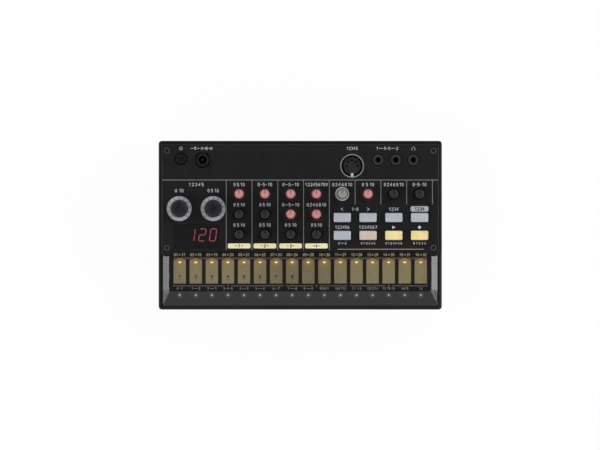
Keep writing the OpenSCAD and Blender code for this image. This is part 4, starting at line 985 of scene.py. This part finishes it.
class DRUM_OT_finish_buttons(bpy.types.Operator):
    """Gives the eight buttons their translucent grey, beige and yellow"""

    bl_idname = "drum.finish_buttons"
    bl_label = "Finish the buttons"

    def execute(self, context):
        look = context.scene.drum_finish
        first = MIDDLE["button_memory"]
        apart = (COLUMN_PITCH, MIDDLE["button_part_left"][1] - first[1], 1.0)
        for name, colour, nodes, lit in (("button_grey", look.grey_button, GREY_BUTTONS, 0.0),
                                         ("button_beige", look.beige_button, BEIGE_BUTTONS, 0.02),
                                         ("button_yellow", look.yellow_button, YELLOW_BUTTONS, 0.12)):
            f = Finish(name, specular=0.35, emission=1.0)
            smear = f.handled(6.0, 0.5, 0.38)["Smear"]
            shade = f.mix(f.ease(f.noise(f.place, 0.22), 0.35, 0.65), colour, toned(colour, 0.93))
            f.colour(f.times(smear, 0.06), shade, (0.3, 0.28, 0.26))
            # painted light: the beige and yellow buttons glow a little, most in their middle
            f.shine(f.ease(f.near(first, apart, (3.0, 1.0, 0.0)), 7.0, 1.0, 0.0, lit), colour)
            f.dress(*nodes)
        return {"FINISHED"}


class DRUM_OT_finish_sockets(bpy.types.Operator):
    """Gives the sockets their black plastic and plated metal, and the round socket its key"""

    bl_idname = "drum.finish_sockets"
    bl_label = "Finish the sockets"

    def execute(self, context):
        look = context.scene.drum_finish
        f = Finish("midi_black", specular=0.25)
        shade = f.mottle(linear(30, 30, 30), 1.3, grain=0.5, depth=0.00002, reach=4.0, rough=(0.4, 0.55))
        away = f.near(middle_on_deck("midi_ring"))
        # painted shade: near black beyond the core, down in the socket's well
        f.colour(f.ease(away, 5.2, 6.1, 0.0, 0.85), shade, (0.001, 0.001, 0.001))
        f.dress("midi_socket")

        f = Finish("jack_black", specular=0.3)
        shade = f.mottle(linear(22, 23, 24), 1.3, grain=0.5, depth=0.00002, reach=8.0, rough=(0.34, 0.5))
        first = (JACK_FIRST, (JACKS_LOW[1] + JACKS_HIGH[1]) / 2)
        away = f.near(first, ((JACK_LAST - JACK_FIRST) / 2, 1.0, 1.0), (2.0, 0.0, 0.0))
        ring = f.ease(f.off(away, 2.8), 0.15, 0.5, 0.6, 0.12)
        f.colour(f.times(ring, f.ease(f.w, -1.0, -0.25)), shade, linear(62, 65, 68))
        f.dress("mini_jacks")

        f = Finish("supply_black", specular=0.22)
        shade = f.mottle(linear(23, 23, 25), 1.2, grain=0.5, depth=0.00002, reach=8.0, rough=(0.4, 0.55))
        # painted shade: near black beyond 3.9 mm from the socket's middle
        f.colour(f.ease(f.near(middle_on_deck("dc_socket")), 3.9, 4.3), shade, linear(6, 6, 7))
        f.dress("dc_socket")

        # painted shade: the pin is a much darker plate than the bright metal, for the shade deep in the
        # socket
        f = Finish("supply_pin_shaded_nickel", metallic=1.0)
        f.plated(linear(58, 58, 60), linear(72, 72, 74), (0.3, 0.42))
        f.dress("dc_pin")

        f = Finish("bright_plate", metallic=1.0)
        streak = f.plated(look.metal, toned(look.metal, 0.88), (0.24, 0.38))
        f.relief(streak, 0.000006)
        f.dress("midi_ring", "board_spacers", "battery_contacts", "shaft_stutter_time", "shaft_stutter_depth")

        f = Finish("key_nickel", metallic=0.4)
        f.plated(linear(214, 214, 214), linear(190, 190, 190), (0.3, 0.42))
        low, high = reach_on_deck("midi_ring")
        u, foot = (low[0] + high[0]) / 2, low[1] + 0.5
        nib = arc((u, foot + 2.1), (0.78, 0.75), 0, 180)
        key = np.concatenate([nib, [(u - 1.15, foot), (u + 1.15, foot)]])
        put("midi_key", [plate(key, high[2] - 1.2, high[2] - 0.35, 0.08)], f.material)
        return {"FINISHED"}


class DRUM_OT_finish_inside(bpy.types.Operator):
    """Gives the boards, controls' bodies, loudspeaker and cells inside the case their finishes"""

    bl_idname = "drum.finish_inside"
    bl_label = "Finish the inside"

    def execute(self, context):
        f = Finish("board_green", specular=0.4)
        cells = f.cells(f.place, 0.35, distance="CHEBYCHEV")
        tracks = f.add("ShaderNodeTexBrick", {
            "Vector": f.place, "Scale": 0.4, "Mortar Size": 0.03, "Color1": (0.01, 0.06, 0.03),
            "Color2": (0.012, 0.075, 0.035), "Mortar": (0.03, 0.16, 0.07)}).outputs[0]
        f.colour(f.ease(cells, 0.06, 0.03), tracks, (0.6, 0.45, 0.2))
        f.gloss(cells, 0.0, 0.4, 0.3, 0.42)
        f.dress("main_board")

        f = Finish("component_black", specular=0.35)
        f.feed("Base Color", f.mottle(linear(36, 36, 38), 1.3, depth=0.00002, reach=10.0))
        f.dress("potentiometers", "button_switches", "power_switch")

        f = Finish("zinc_steel", metallic=0.9)
        spangle = f.add("ShaderNodeSeparateColor", {0: f.cells(f.place, 0.5, 1)}).outputs[0]
        f.colour(spangle, (0.42, 0.43, 0.45), (0.55, 0.55, 0.57))
        f.gloss(spangle, 0.0, 1.0, 0.28, 0.42)
        f.dress("speaker_basket")

        f = Finish("cone_paper", specular=0.2)
        fibres = f.vector("MULTIPLY", f.place, (1.0, 3.0, 1.0))
        f.coarse(fibres, 1.2, linear(34, 33, 32), linear(58, 56, 53), (0.8, 0.95))
        f.dress("speaker_cone")

        f = Finish("ferrite", specular=0.3)
        f.coarse(f.place, 1.6, linear(60, 60, 62), linear(90, 90, 93), (0.5, 0.72))
        f.dress("speaker_magnet")

        f = Finish("cell_jacket", metallic=0.25)
        low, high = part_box("battery_cells")
        x, y = f.split(f.position)[:2]
        length = CELL_LENGTH + 0.00001  # a hair over, so that a cell's end keeps its own colour
        outer = f.math("DIVIDE", f.math("SUBTRACT", x, high[0] - 2 * CELL_LENGTH), length)
        inner = f.math("DIVIDE", f.math("SUBTRACT", low[0] + 2 * CELL_LENGTH, x), length)
        in_middle = f.math("LESS_THAN", f.off(y, (low[1] + high[1]) / 2), (high[1] - low[1]) / 6)
        outer = f.times(outer, f.math("SUBTRACT", 1.0, in_middle))
        along = f.math("FRACT", f.math("ADD", outer, f.times(inner, in_middle)))
        streak = f.brushed(0.2, 3.0, 3.0)["Streak"]
        shade = f.mix(f.ease(along, 0.66, 0.68), (0.02, 0.09, 0.08), (0.55, 0.36, 0.16))
        f.colour(f.times(streak, 0.18), shade, (0.5, 0.5, 0.5))
        f.gloss(streak, 0.3, 0.7, 0.26, 0.36)
        f.dress("battery_cells")
        return {"FINISHED"}


# ---- Operators: printed marks ----


def film(print_, on=0.0):
    """Foot and top of the printed film on a face at height on."""
    return on + PRINT_FOOT, on + print_.film / MM


class DRUM_OT_print_lines(bpy.types.Operator):
    """Prints the rule under the sockets, the lines between the columns and the long stripe"""

    bl_idname = "drum.print_lines"
    bl_label = "Print the lines"

    def execute(self, context):
        print_ = context.scene.drum_print
        foot, top = film(print_)
        width = print_.line_width / MM
        edge = PANEL_HIGH[0] - 0.6
        lines = [band([(-edge, RULE_V), (edge, RULE_V)], width, foot, top)]
        for k in range(COLUMNS + 1):
            u = column(k) - COLUMN_PITCH / 2
            end = LINE_END if k < LONG_LINES else SHORT_LINE_END
            lines.append(band([(u, RULE_V), (u, end)], width, foot, top * 0.9))
        put("panel_lines", lines, ink("line_ink", print_.line_ink))
        stripe = band(STRIPE, STRIPE_WIDTH, foot, top)
        put("panel_stripe", [stripe], ink("stripe_ink", print_.stripe_ink, 0.4))
        return {"FINISHED"}


class DRUM_OT_print_captions(bpy.types.Operator):
    """Prints plain numbers by the knobs and buttons, and the buttons' symbols"""

    bl_idname = "drum.print_captions"
    bl_label = "Print the captions"

    def execute(self, context):
        print_ = context.scene.drum_print
        flat = film(print_)
        stroke, tall, small = print_.stroke / MM, print_.caption_height / MM, print_.small_height / MM
        marks = []

        def write(numbers, u, v, wide):
            """Prints numbers about a point, spread over a width."""
            marks.extend(span(numbers, (u, v), wide, tall, stroke, *flat))

        for row, widths in enumerate(CAPTION_WIDTHS):
            for k, wide in enumerate(widths):
                numbers = ("0", "5", "10") if wide < 12 else ("0", "2", "4", "6", "8", "10")
                rise = KNOB_RISE - row * ROW_PITCH
                write("123456789" if wide >= 14 else numbers, column(k), ROW_FIRST + rise, wide)
        left, right = (MIDDLE[name][0] for name in CAPS)
        write("12345", (left + right) / 2, CAPS_ROW, 10.0)
        write(("0", "10"), left, CAP_ENDS_ROW, 5.6)
        write(("0", "5", "10"), right, CAP_ENDS_ROW, 7.4)
        row = MIDDLE["button_mute"][1] + UPPER_RISE
        marks += figures("1-8", ((column(4) + column(5)) / 2, row), tall, stroke, *flat)
        for at, way in ((column(4), -1), (column(5), 1)):
            chevron = [(at - way * 0.6, row + 1.0), (at + way * 0.9, row), (at - way * 0.6, row - 1.0)]
            marks.append(band(chevron, stroke, *flat))
        write("1234", column(6), row, 6.4)
        row = MIDDLE["button_play"][1] + LOWER_RISE
        write("123456", column(4), row, 9.6)
        write("1234567", column(5), row, 12.2)
        triangle = [(column(6) - 0.95, row - 1.1), (column(6) + 1.15, row), (column(6) - 0.95, row + 1.1)]
        dot = oval((column(7), row), (1.02, 1.02), 24)
        row = MIDDLE["button_play"][1] + LOWER_DROP
        for k, wide in enumerate((5.4, 9.4, 11.0, 8.2), 4):
            numbers = [str(n) for n in range(int(wide / 1.5))]
            marks += span(numbers, (column(k), row), wide, small, stroke * 0.75, *flat)
        put("panel_captions", marks, ink("caption_ink", print_.ink))
        bright = tuple(min(1.0, c) for c in toned(print_.ink, 1.2))
        put("panel_symbols", [plate(triangle, *flat), plate(dot, *flat)], ink("symbol_ink", bright))
        return {"FINISHED"}


class DRUM_OT_print_scales(bpy.types.Operator):
    """Prints the large knobs' scales with their marks, and the ring round the clear knob"""

    bl_idname = "drum.print_scales"
    bl_label = "Print the scales"

    def execute(self, context):
        print_ = context.scene.drum_print
        foot, top = film(print_)
        inner, outer = print_.scale_inner / MM, print_.scale_outer / MM
        rings, marks = [], []
        for name in CAPS:
            centre = MIDDLE[name][:2]
            circle = oval(centre, ((inner + outer) / 2,) * 2, 96)
            rings.append(band(circle, outer - inner, foot, top, closed=True))
            for angle in np.radians(np.linspace(225, -45, print_.scale_marks)):
                way = np.array([math.cos(angle), math.sin(angle)])
                mark = [way * (inner + 0.35) + centre, way * (outer - 0.25) + centre]
                marks.append(band(mark, 0.42, 0.0, top * OVER))
        circle = oval(MIDDLE[CLEAR_KNOB], (4.25, 4.25), 48)
        rings.append(band(circle, 0.88, foot, top, closed=True))
        put("scale_rings", rings, ink("scale_ink", toned(print_.ink, 0.85)))
        put("scale_marks", marks, ink("scale_mark_ink", linear(92, 92, 94)))
        return {"FINISHED"}


class DRUM_OT_print_tags(bpy.types.Operator):
    """Prints the four voice tags and the grey plate over the last button, each with plain numbers"""

    bl_idname = "drum.print_tags"
    bl_label = "Print the tags"

    def execute(self, context):
        print_ = context.scene.drum_print
        foot, top = film(print_)
        over = (0.46, 0.0, top * OVER)
        grounds, numbers = [], []
        for k in range(VOICES):
            at = (column(k), TAG_ROW)
            grounds.append(plate(rounded(at, *TAG_SIZE), foot, top))
            numbers += figures(str(k + 1), at, FIGURE, *over, reach=5.2)
        put("voice_tags", grounds, ink("tag_ink", print_.tag_ink))
        at = (column(7), PLATE_ROW)
        ground = plate(rounded(at, *PLATE_SIZE), foot, top)
        put("function_plate", [ground], ink("plate_ink", toned(print_.ink, 0.85)))
        numbers += span("1234", at, 6.4, 2.1, *over)
        put("tag_numbers", numbers, ink("tag_number_ink", print_.dark_ink))
        return {"FINISHED"}


class DRUM_OT_print_sockets(bpy.types.Operator):
    """Prints the power, supply, number and headphone marks above the sockets, and paints shade round the
    supply socket
    """

    bl_idname = "drum.print_sockets"
    bl_label = "Print the socket marks"

    def execute(self, context):
        print_ = context.scene.drum_print
        flat = film(print_)
        stroke, row = 0.3, SOCKET_ROW
        marks = []

        def draw(path, width=stroke, closed=False):
            """Prints a line along a path."""
            marks.append(band(path, width, *flat, closed))

        u = MIDDLE["power_button"][0]
        draw(arc((u, row), (0.95, 0.95), 125, 415, 14))
        draw([(u, row + 0.2), (u, row + 1.35)])
        supply, minus, core, plus = -71.5, -66.8, -63.7, -60.6
        marks += figures("9", (supply, row), FIGURE, 0.36, *flat, reach=5.9)
        marks.append(plate(oval((core, row), (0.45, 0.45)), *flat))
        draw(arc((core, row), (0.95, 0.95), 40, 320, 14))
        for u in (minus, plus):
            draw(oval((u, row), (0.8, 0.8), 16), stroke * 0.8, closed=True)
            draw([(u - 0.42, row), (u + 0.42, row)], stroke * 0.7)
        draw([(plus, row - 0.42), (plus, row + 0.42)], stroke * 0.7)
        draw([(minus + 0.9, row), (core - 1.05, row)], stroke * 0.8)
        draw([(core + 0.4, row), (plus - 0.9, row)], stroke * 0.8)
        marks += span("12345", (middle_on_deck("midi_ring")[0], row), 7.4, FIGURE, stroke, *flat)
        marks += span(("1", "0-5", "2"), (JACK_FIRST + 6.2, row), 14.6, FIGURE, stroke, *flat)
        draw(arc((JACK_LAST, row - 0.25), (1.05, 1.15), 0, 180, 10), stroke * 0.75)
        for u in (JACK_LAST - 1.0, JACK_LAST + 1.0):
            marks.append(plate(rounded((u, row - 0.85), 0.42, 0.9, 0.2, 3), *flat))
        put("socket_marks", marks, ink("socket_ink", print_.ink))

        # painted shade: three dark arcs on the panel round the supply socket, open at the bottom
        centre = middle_on_deck("dc_socket")
        arcs = [arc(centre, (5.15, 5.15), start, start + 50, 8) for start in (65, 155, -25)]
        put("supply_shade_arcs", [band(a, 0.7, *flat) for a in arcs], ink("supply_gap_shade", linear(8, 8, 9), 0.35))
        return {"FINISHED"}


class DRUM_OT_print_pads(bpy.types.Operator):
    """Prints the pads' numbers, the step numbers on the touch board, and the cover's numbers and brackets"""

    bl_idname = "drum.print_pads"
    bl_label = "Print the touch board and the cover"

    def execute(self, context):
        print_ = context.scene.drum_print
        numbers = []
        for k in range(PADS // 2):
            numbers += figures(str(k + 1), (pad(k), PAD_NUMBER_ROW), 1.8, 0.5, *PAD_SKIN)
            dash = [(pad(k) - 0.4, PAD_DASH_ROW), (pad(k) + 0.4, PAD_DASH_ROW)]
            numbers.append(band(dash, 0.42, *PAD_SKIN))
        put("pad_numbers", numbers, ink("pad_number_ink", linear(56, 46, 30)))

        flat = film(print_, reach_on_deck("touch_board")[1][2])
        marks = []
        for k, (wide, count) in enumerate(STEP_SPANS):
            steps = [str(k + n) for n in range(count)]
            marks += span(steps, (pad(k), STEP_ROW), wide, 1.6, 0.28, *flat)
        marks += figures(str(PADS), (pad(PADS - 1), STEP_ROW), 1.6, 0.28, *flat)
        put("step_numbers", marks, ink("step_ink", print_.cover_ink))

        foot, top = film(print_, reach_on_deck("touch_cover")[1][2])
        ranks, dots, brackets = [], [], []
        for k in range(PADS):
            pair = (f"{k + 1:02d}", f"{k + PADS + 1:02d}")
            ranks += span(pair, (pad(k), RANK_ROW), 7.4, 1.75, 0.32, foot, top)
            dots.append(plate(oval((pad(k), RANK_DOT_ROW), (0.45, 0.6)), foot, top * 1.6))
        put("rank_numbers", ranks, ink("rank_ink", linear(160, 148, 134)))
        put("rank_dots", dots, ink("rank_dot_ink", linear(164, 116, 86)))
        for first, last in ((0, 6), (7, 10), (11, 15)):
            left, right = pad(first) - PAD_WIDTH / 2, pad(last) + PAD_WIDTH / 2
            middle = (left + right) / 2
            for start, end in ((middle - 2.2, left), (middle + 2.2, right)):
                path = [(start, BRACKET_ROW), (end, BRACKET_ROW), (end, BRACKET_ROW + 0.7)]
                brackets.append(band(path, 0.18, foot, top))
            brackets += figures(str(last - first + 1), (middle, BRACKET_ROW), 1.0, 0.24, foot, top)
        put("pad_brackets", brackets, ink("bracket_ink", toned(print_.cover_ink, 0.36)))
        return {"FINISHED"}


class DRUM_OT_mark_pointers(bpy.types.Operator):
    """Lays a strip in the pointer slot of every knob: red, grey or dark, after its knob"""

    bl_idname = "drum.mark_pointers"
    bl_label = "Mark the pointers"

    def execute(self, context):
        dark = ink("pointer_black", linear(28, 28, 29), 0.6)
        red = ink("pointer_red", linear(188, 112, 108))
        grey = ink("pointer_grey", linear(112, 112, 110))
        for name in KNOBS + CAPS:
            u, v, top = MIDDLE[name]
            radius, width = (5.85, 0.8) if name in CAPS else (3.1, 0.62)
            floor = top - 0.5  # of the slot, which starts near the knob's middle and runs to its edge
            strip = rounded((u, v + radius * 0.545), width, radius * 0.75, 0.12, 3)
            material = red if name in LIT_KNOBS else grey if name == CLEAR_KNOB else dark
            put(f"pointer_{name}", [plate(strip, floor - 0.05, floor + 0.06, 0.03)], material, body=name)
        return {"FINISHED"}


# ---- Operators: lights ----

SEGMENTS = {  # from and to, in a cell 1 wide and 2 high
    "a": ((0, 2), (1, 2)), "b": ((1, 2), (1, 1)), "c": ((1, 1), (1, 0)), "d": ((0, 0), (1, 0)),
    "e": ((0, 1), (0, 0)), "f": ((0, 2), (0, 1)), "g": ((0, 1), (1, 1)),
}
LIT_SEGMENTS = {"0": "abcdef", "1": "bc", "2": "abged", "3": "abgcd", "4": "fgbc", "5": "afgcd",
                "6": "afgecd", "7": "abc", "8": "abcdefg", "9": "abfgcd", " ": ""}
DIGIT_PITCH, DIGIT_WIDTH, DIGIT_HEIGHT, DIGIT_LEAN = 7.3, 4.05, 8.2, 0.13
DIGIT_DROP = 11.25  # from the window's rear edge to the digits' feet
SEGMENT_GAP = 0.32  # left out at each end of a segment


class DRUM_OT_light_display(bpy.types.Operator):
    """Draws the four seven-segment places behind the pane and lights the readout"""

    bl_idname = "drum.light_display"
    bl_label = "Light the display"

    def execute(self, context):
        light = context.scene.drum_light
        text = light.readout.rjust(4)
        if any(figure not in LIT_SEGMENTS for figure in text):
            raise ValueError("the readout is made of digits and spaces")
        face = reach_on_deck("display_module")[1][2]
        low, high = reach_on_deck("display_window")
        width = light.segment / MM
        lit, unlit, haze = [], [], []
        for place, figure in enumerate(text):
            left = (low[0] + high[0]) / 2 + 0.25 + (place - 1.5) * DIGIT_PITCH - DIGIT_WIDTH / 2
            for key, ends in SEGMENTS.items():
                grid = np.array(ends, float) * [DIGIT_WIDTH, DIGIT_HEIGHT / 2]
                way = grid[1] - grid[0]
                grid += np.outer([SEGMENT_GAP, -SEGMENT_GAP], way / np.linalg.norm(way))
                grid[:, 0] += left + DIGIT_LEAN * (grid[:, 1] - DIGIT_HEIGHT / 2)
                grid[:, 1] += high[1] - DIGIT_DROP
                bar = band(grid, width, face - 0.02, face + 0.08)
                if key in LIT_SEGMENTS[figure]:
                    lit.append(bar)
                    # painted glow: a wider, dim band round each lit segment
                    haze.append(band(grid, 3.2 * width, face - 0.02, face + 0.03))
                else:
                    unlit.append(bar)
        colour = light.readout_colour
        for name, bars, power, roughness, scale, dull, bright in (
                ("readout_lit", lit, light.readout_power, 0.4, 0.7, ((0.3, 0.02, 0.04), (0.4, 0.03, 0.05)),
                 (colour, toned(colour, 0.8))),
                ("readout_haze", haze, 1.0, 0.5, 0.5, ((0.1, 0.01, 0.02), (0.14, 0.01, 0.03)),
                 ((0.5, 0.0, 0.06), (0.36, 0.0, 0.04)))):
            f = Finish(name, roughness, emission=power)
            drift = f.noise(f.place, scale)
            f.colour(drift, *dull)
            f.feed("Emission Color", f.mix(drift, *bright))
            put(name, bars, f.material)
        put("readout_unlit", unlit, ink("readout_unlit", linear(70, 66, 62), 0.4))
        return {"FINISHED"}


class DRUM_OT_light_pads(bpy.types.Operator):
    """Sets a small domed lens in the slot of every pad"""

    bl_idname = "drum.light_pads"
    bl_label = "Light the pads"

    def execute(self, context):
        light = context.scene.drum_light
        top = PADS_HIGH[2]
        # radius and height, from the foot over the dome to its top
        dome = [(0.0, top - 1.0), (0.48, top - 1.0), (0.5, top - 0.1), (0.44, top + 0.03), (0.26, top + 0.09),
                (0.0, top + 0.1)]
        lenses = [turned((pad(k), PAD_LAMP_V), dome, (2.1, 1.08)) for k in range(PADS)]
        f = Finish("pad_light_lens", roughness=0.25, emission=light.pad_power)
        cast = f.noise(f.place, 1.2)
        f.colour(cast, (0.8, 0.75, 0.65), (0.9, 0.86, 0.78))
        f.feed("Emission Color", f.mix(cast, light.pad_colour, toned(light.pad_colour, 0.85)))
        put("pad_light_lenses", lenses, f.material, smooth=True)
        return {"FINISHED"}


# ---- Operator: the stage ----

SENSOR = 36.0  # width in millimetres
AIM = (-0.18, 0.14)  # u and v of the point that the camera looks at
LAMP_AIM = (0.0, 0.0, 0.03)
LEFT_SHARE, RIGHT_SHARE = 0.8, 1.3  # of the side lamps' power


class DRUM_OT_set_stage(bpy.types.Operator):
    """Sets the pale table, the lamps, the sky and the camera that looks straight down on the deck"""

    bl_idname = "drum.set_stage"
    bl_label = "Set the stage"

    def execute(self, context):
        scene, stage = context.scene, context.scene.drum_stage
        self.set_table(stage)
        self.set_lamps(scene, stage)
        self.set_sky(scene, stage)
        self.set_camera(scene, stage)
        scene.view_settings.view_transform = "Standard"
        return {"FINISHED"}

    def set_table(self, stage):
        """A disc: rings of radius from the middle to the edge, at the level of the feet."""
        a = np.linspace(0, 2 * math.pi, 96, endpoint=False)
        r = np.array([0.0, 0.3, 0.8, 1.6, stage.table_radius])[:, None]
        grid = np.stack([r * np.cos(a), r * np.sin(a), np.zeros_like(r * a)], -1)
        mesh = bpy.data.meshes.new("table")
        mesh.from_pydata(grid.reshape(-1, 3).tolist(), [], faces_of(len(r), len(a), False, 0).tolist())
        weld(mesh)
        if mesh.polygons[0].normal.z < 0:
            mesh.flip_normals()
        material = bpy.data.materials.new("table_white")
        material.use_nodes = True
        tree = Tree(material.node_tree)
        tree.tree.nodes.remove(tree.tree.nodes["Principled BSDF"])
        paper = tree.add("ShaderNodeBsdfDiffuse", {"Color": (0.93, 0.93, 0.93)}).outputs[0]
        white = tree.add("ShaderNodeEmission", {"Color": (1.0, 1.0, 1.0), "Strength": 1.0}).outputs[0]
        path = tree.add("ShaderNodeLightPath").outputs
        mirrored = tree.math("MAXIMUM", path["Is Glossy Ray"], path["Is Transmission Ray"])
        seen = tree.times(tree.math("MAXIMUM", path["Is Camera Ray"], mirrored), stage.table_white)
        mixed = tree.add("ShaderNodeMixShader", {0: seen, 1: paper, 2: white}).outputs[0]
        output = next(node for node in tree.tree.nodes if node.type == "OUTPUT_MATERIAL")
        tree.link(output.inputs["Surface"], mixed)
        mesh.materials.append(material)
        table = bpy.data.objects.new("table", mesh)
        bpy.context.scene.collection.objects.link(table)

    def set_lamps(self, scene, stage):
        """Two broad lamps high on either side, and two tall ones low beside the object."""
        lamps = (("key_left", (-1.1, -0.7, 1.3), (1.2, 1.2), stage.key_power),
                 ("key_right", (1.1, 0.6, 1.3), (1.2, 1.2), stage.key_power),
                 ("side_left", (-1.3, 0.0, 0.34), (2.2, 0.62), stage.side_power * LEFT_SHARE),
                 ("side_right", (1.3, 0.0, 0.34), (2.2, 0.62), stage.side_power * RIGHT_SHARE))
        for name, place, size, power in lamps:
            lamp = bpy.data.lights.new(name, "AREA")
            lamp.shape = "RECTANGLE"
            lamp.size, lamp.size_y = size
            lamp.energy = power
            holder = bpy.data.objects.new(name, lamp)
            scene.collection.objects.link(holder)
            aim = Vector(LAMP_AIM) - Vector(place)
            turn = aim.to_track_quat("-Z", "Y").to_matrix().to_4x4()
            holder.matrix_world = Matrix.Translation(place) @ turn
            holder.visible_camera = False

    def set_sky(self, scene, stage):
        """White at the level of the table, dimmer overhead."""
        world = bpy.data.worlds.new("studio")
        scene.world = world
        world.use_nodes = True
        tree = Tree(world.node_tree)
        tree.tree.nodes.clear()
        height = tree.split(tree.add("ShaderNodeTexCoord").outputs["Generated"])[2]
        level = tree.ease(height, 0.25, 0.97, stage.horizon, stage.ceiling)
        room = tree.add("ShaderNodeBackground", {"Color": (1.0, 1.0, 1.0), "Strength": level}).outputs[0]
        tree.add("ShaderNodeOutputWorld", {"Surface": room})

    def set_camera(self, scene, stage):
        """A long lens on the deck's normal: focal length is sensor width times distance over view width."""
        lens = bpy.data.cameras.new("camera")
        lens.sensor_width = SENSOR
        lens.lens = SENSOR * stage.distance / stage.view_width
        lens.clip_end = 20.0
        camera = bpy.data.objects.new("camera", lens)
        scene.collection.objects.link(camera)
        turn = Matrix((ACROSS, SLOPE, NORMAL)).transposed().to_4x4()
        camera.matrix_world = Matrix.Translation(Vector(to_world((*AIM, stage.distance / MM)))) @ turn
        scene.camera = camera


# ---- The add-on ----

OPERATORS = (
    DRUM_OT_set_stage, DRUM_OT_finish_case, DRUM_OT_finish_panel, DRUM_OT_finish_display,
    DRUM_OT_finish_cover, DRUM_OT_finish_knobs, DRUM_OT_finish_buttons, DRUM_OT_finish_sockets,
    DRUM_OT_finish_inside, DRUM_OT_print_lines, DRUM_OT_print_captions, DRUM_OT_print_scales,
    DRUM_OT_print_tags, DRUM_OT_print_sockets, DRUM_OT_print_pads, DRUM_OT_mark_pointers,
    DRUM_OT_light_display, DRUM_OT_light_pads,
)
SETTINGS = (("drum_print", DrumPrintSettings), ("drum_light", DrumLightSettings),
            ("drum_finish", DrumFinishSettings), ("drum_stage", DrumStageSettings))


class DRUM_PT_dresser(bpy.types.Panel):
    """Lists the drum machine's settings and the steps that dress it"""

    bl_idname = "DRUM_PT_dresser"
    bl_label = "Drum Machine"
    bl_space_type = "VIEW_3D"
    bl_region_type = "UI"
    bl_category = "Drum Machine"

    def draw(self, context):
        for name, group in SETTINGS:
            box = self.layout.box()
            box.label(text=group.__doc__)
            for key in group.__annotations__:
                box.prop(getattr(context.scene, name), key)
        for operator in OPERATORS:
            self.layout.operator(operator.bl_idname)


def register():
    """Adds the settings, the operators and the panel."""
    for name, group in SETTINGS:
        bpy.utils.register_class(group)
        setattr(bpy.types.Scene, name, PointerProperty(type=group))
    for operator in OPERATORS:
        bpy.utils.register_class(operator)
    bpy.utils.register_class(DRUM_PT_dresser)


def unregister():
    """Takes them away again, in the opposite order."""
    bpy.utils.unregister_class(DRUM_PT_dresser)
    for operator in reversed(OPERATORS):
        bpy.utils.unregister_class(operator)
    for name, group in reversed(SETTINGS):
        delattr(bpy.types.Scene, name)
        bpy.utils.unregister_class(group)


def main():
    """Registers the add-on and runs every operator in order."""
    register()
    for operator in OPERATORS:
        family, name = operator.bl_idname.split(".")
        getattr(getattr(bpy.ops, family), name)()


if __name__ == "__main__":
    main()
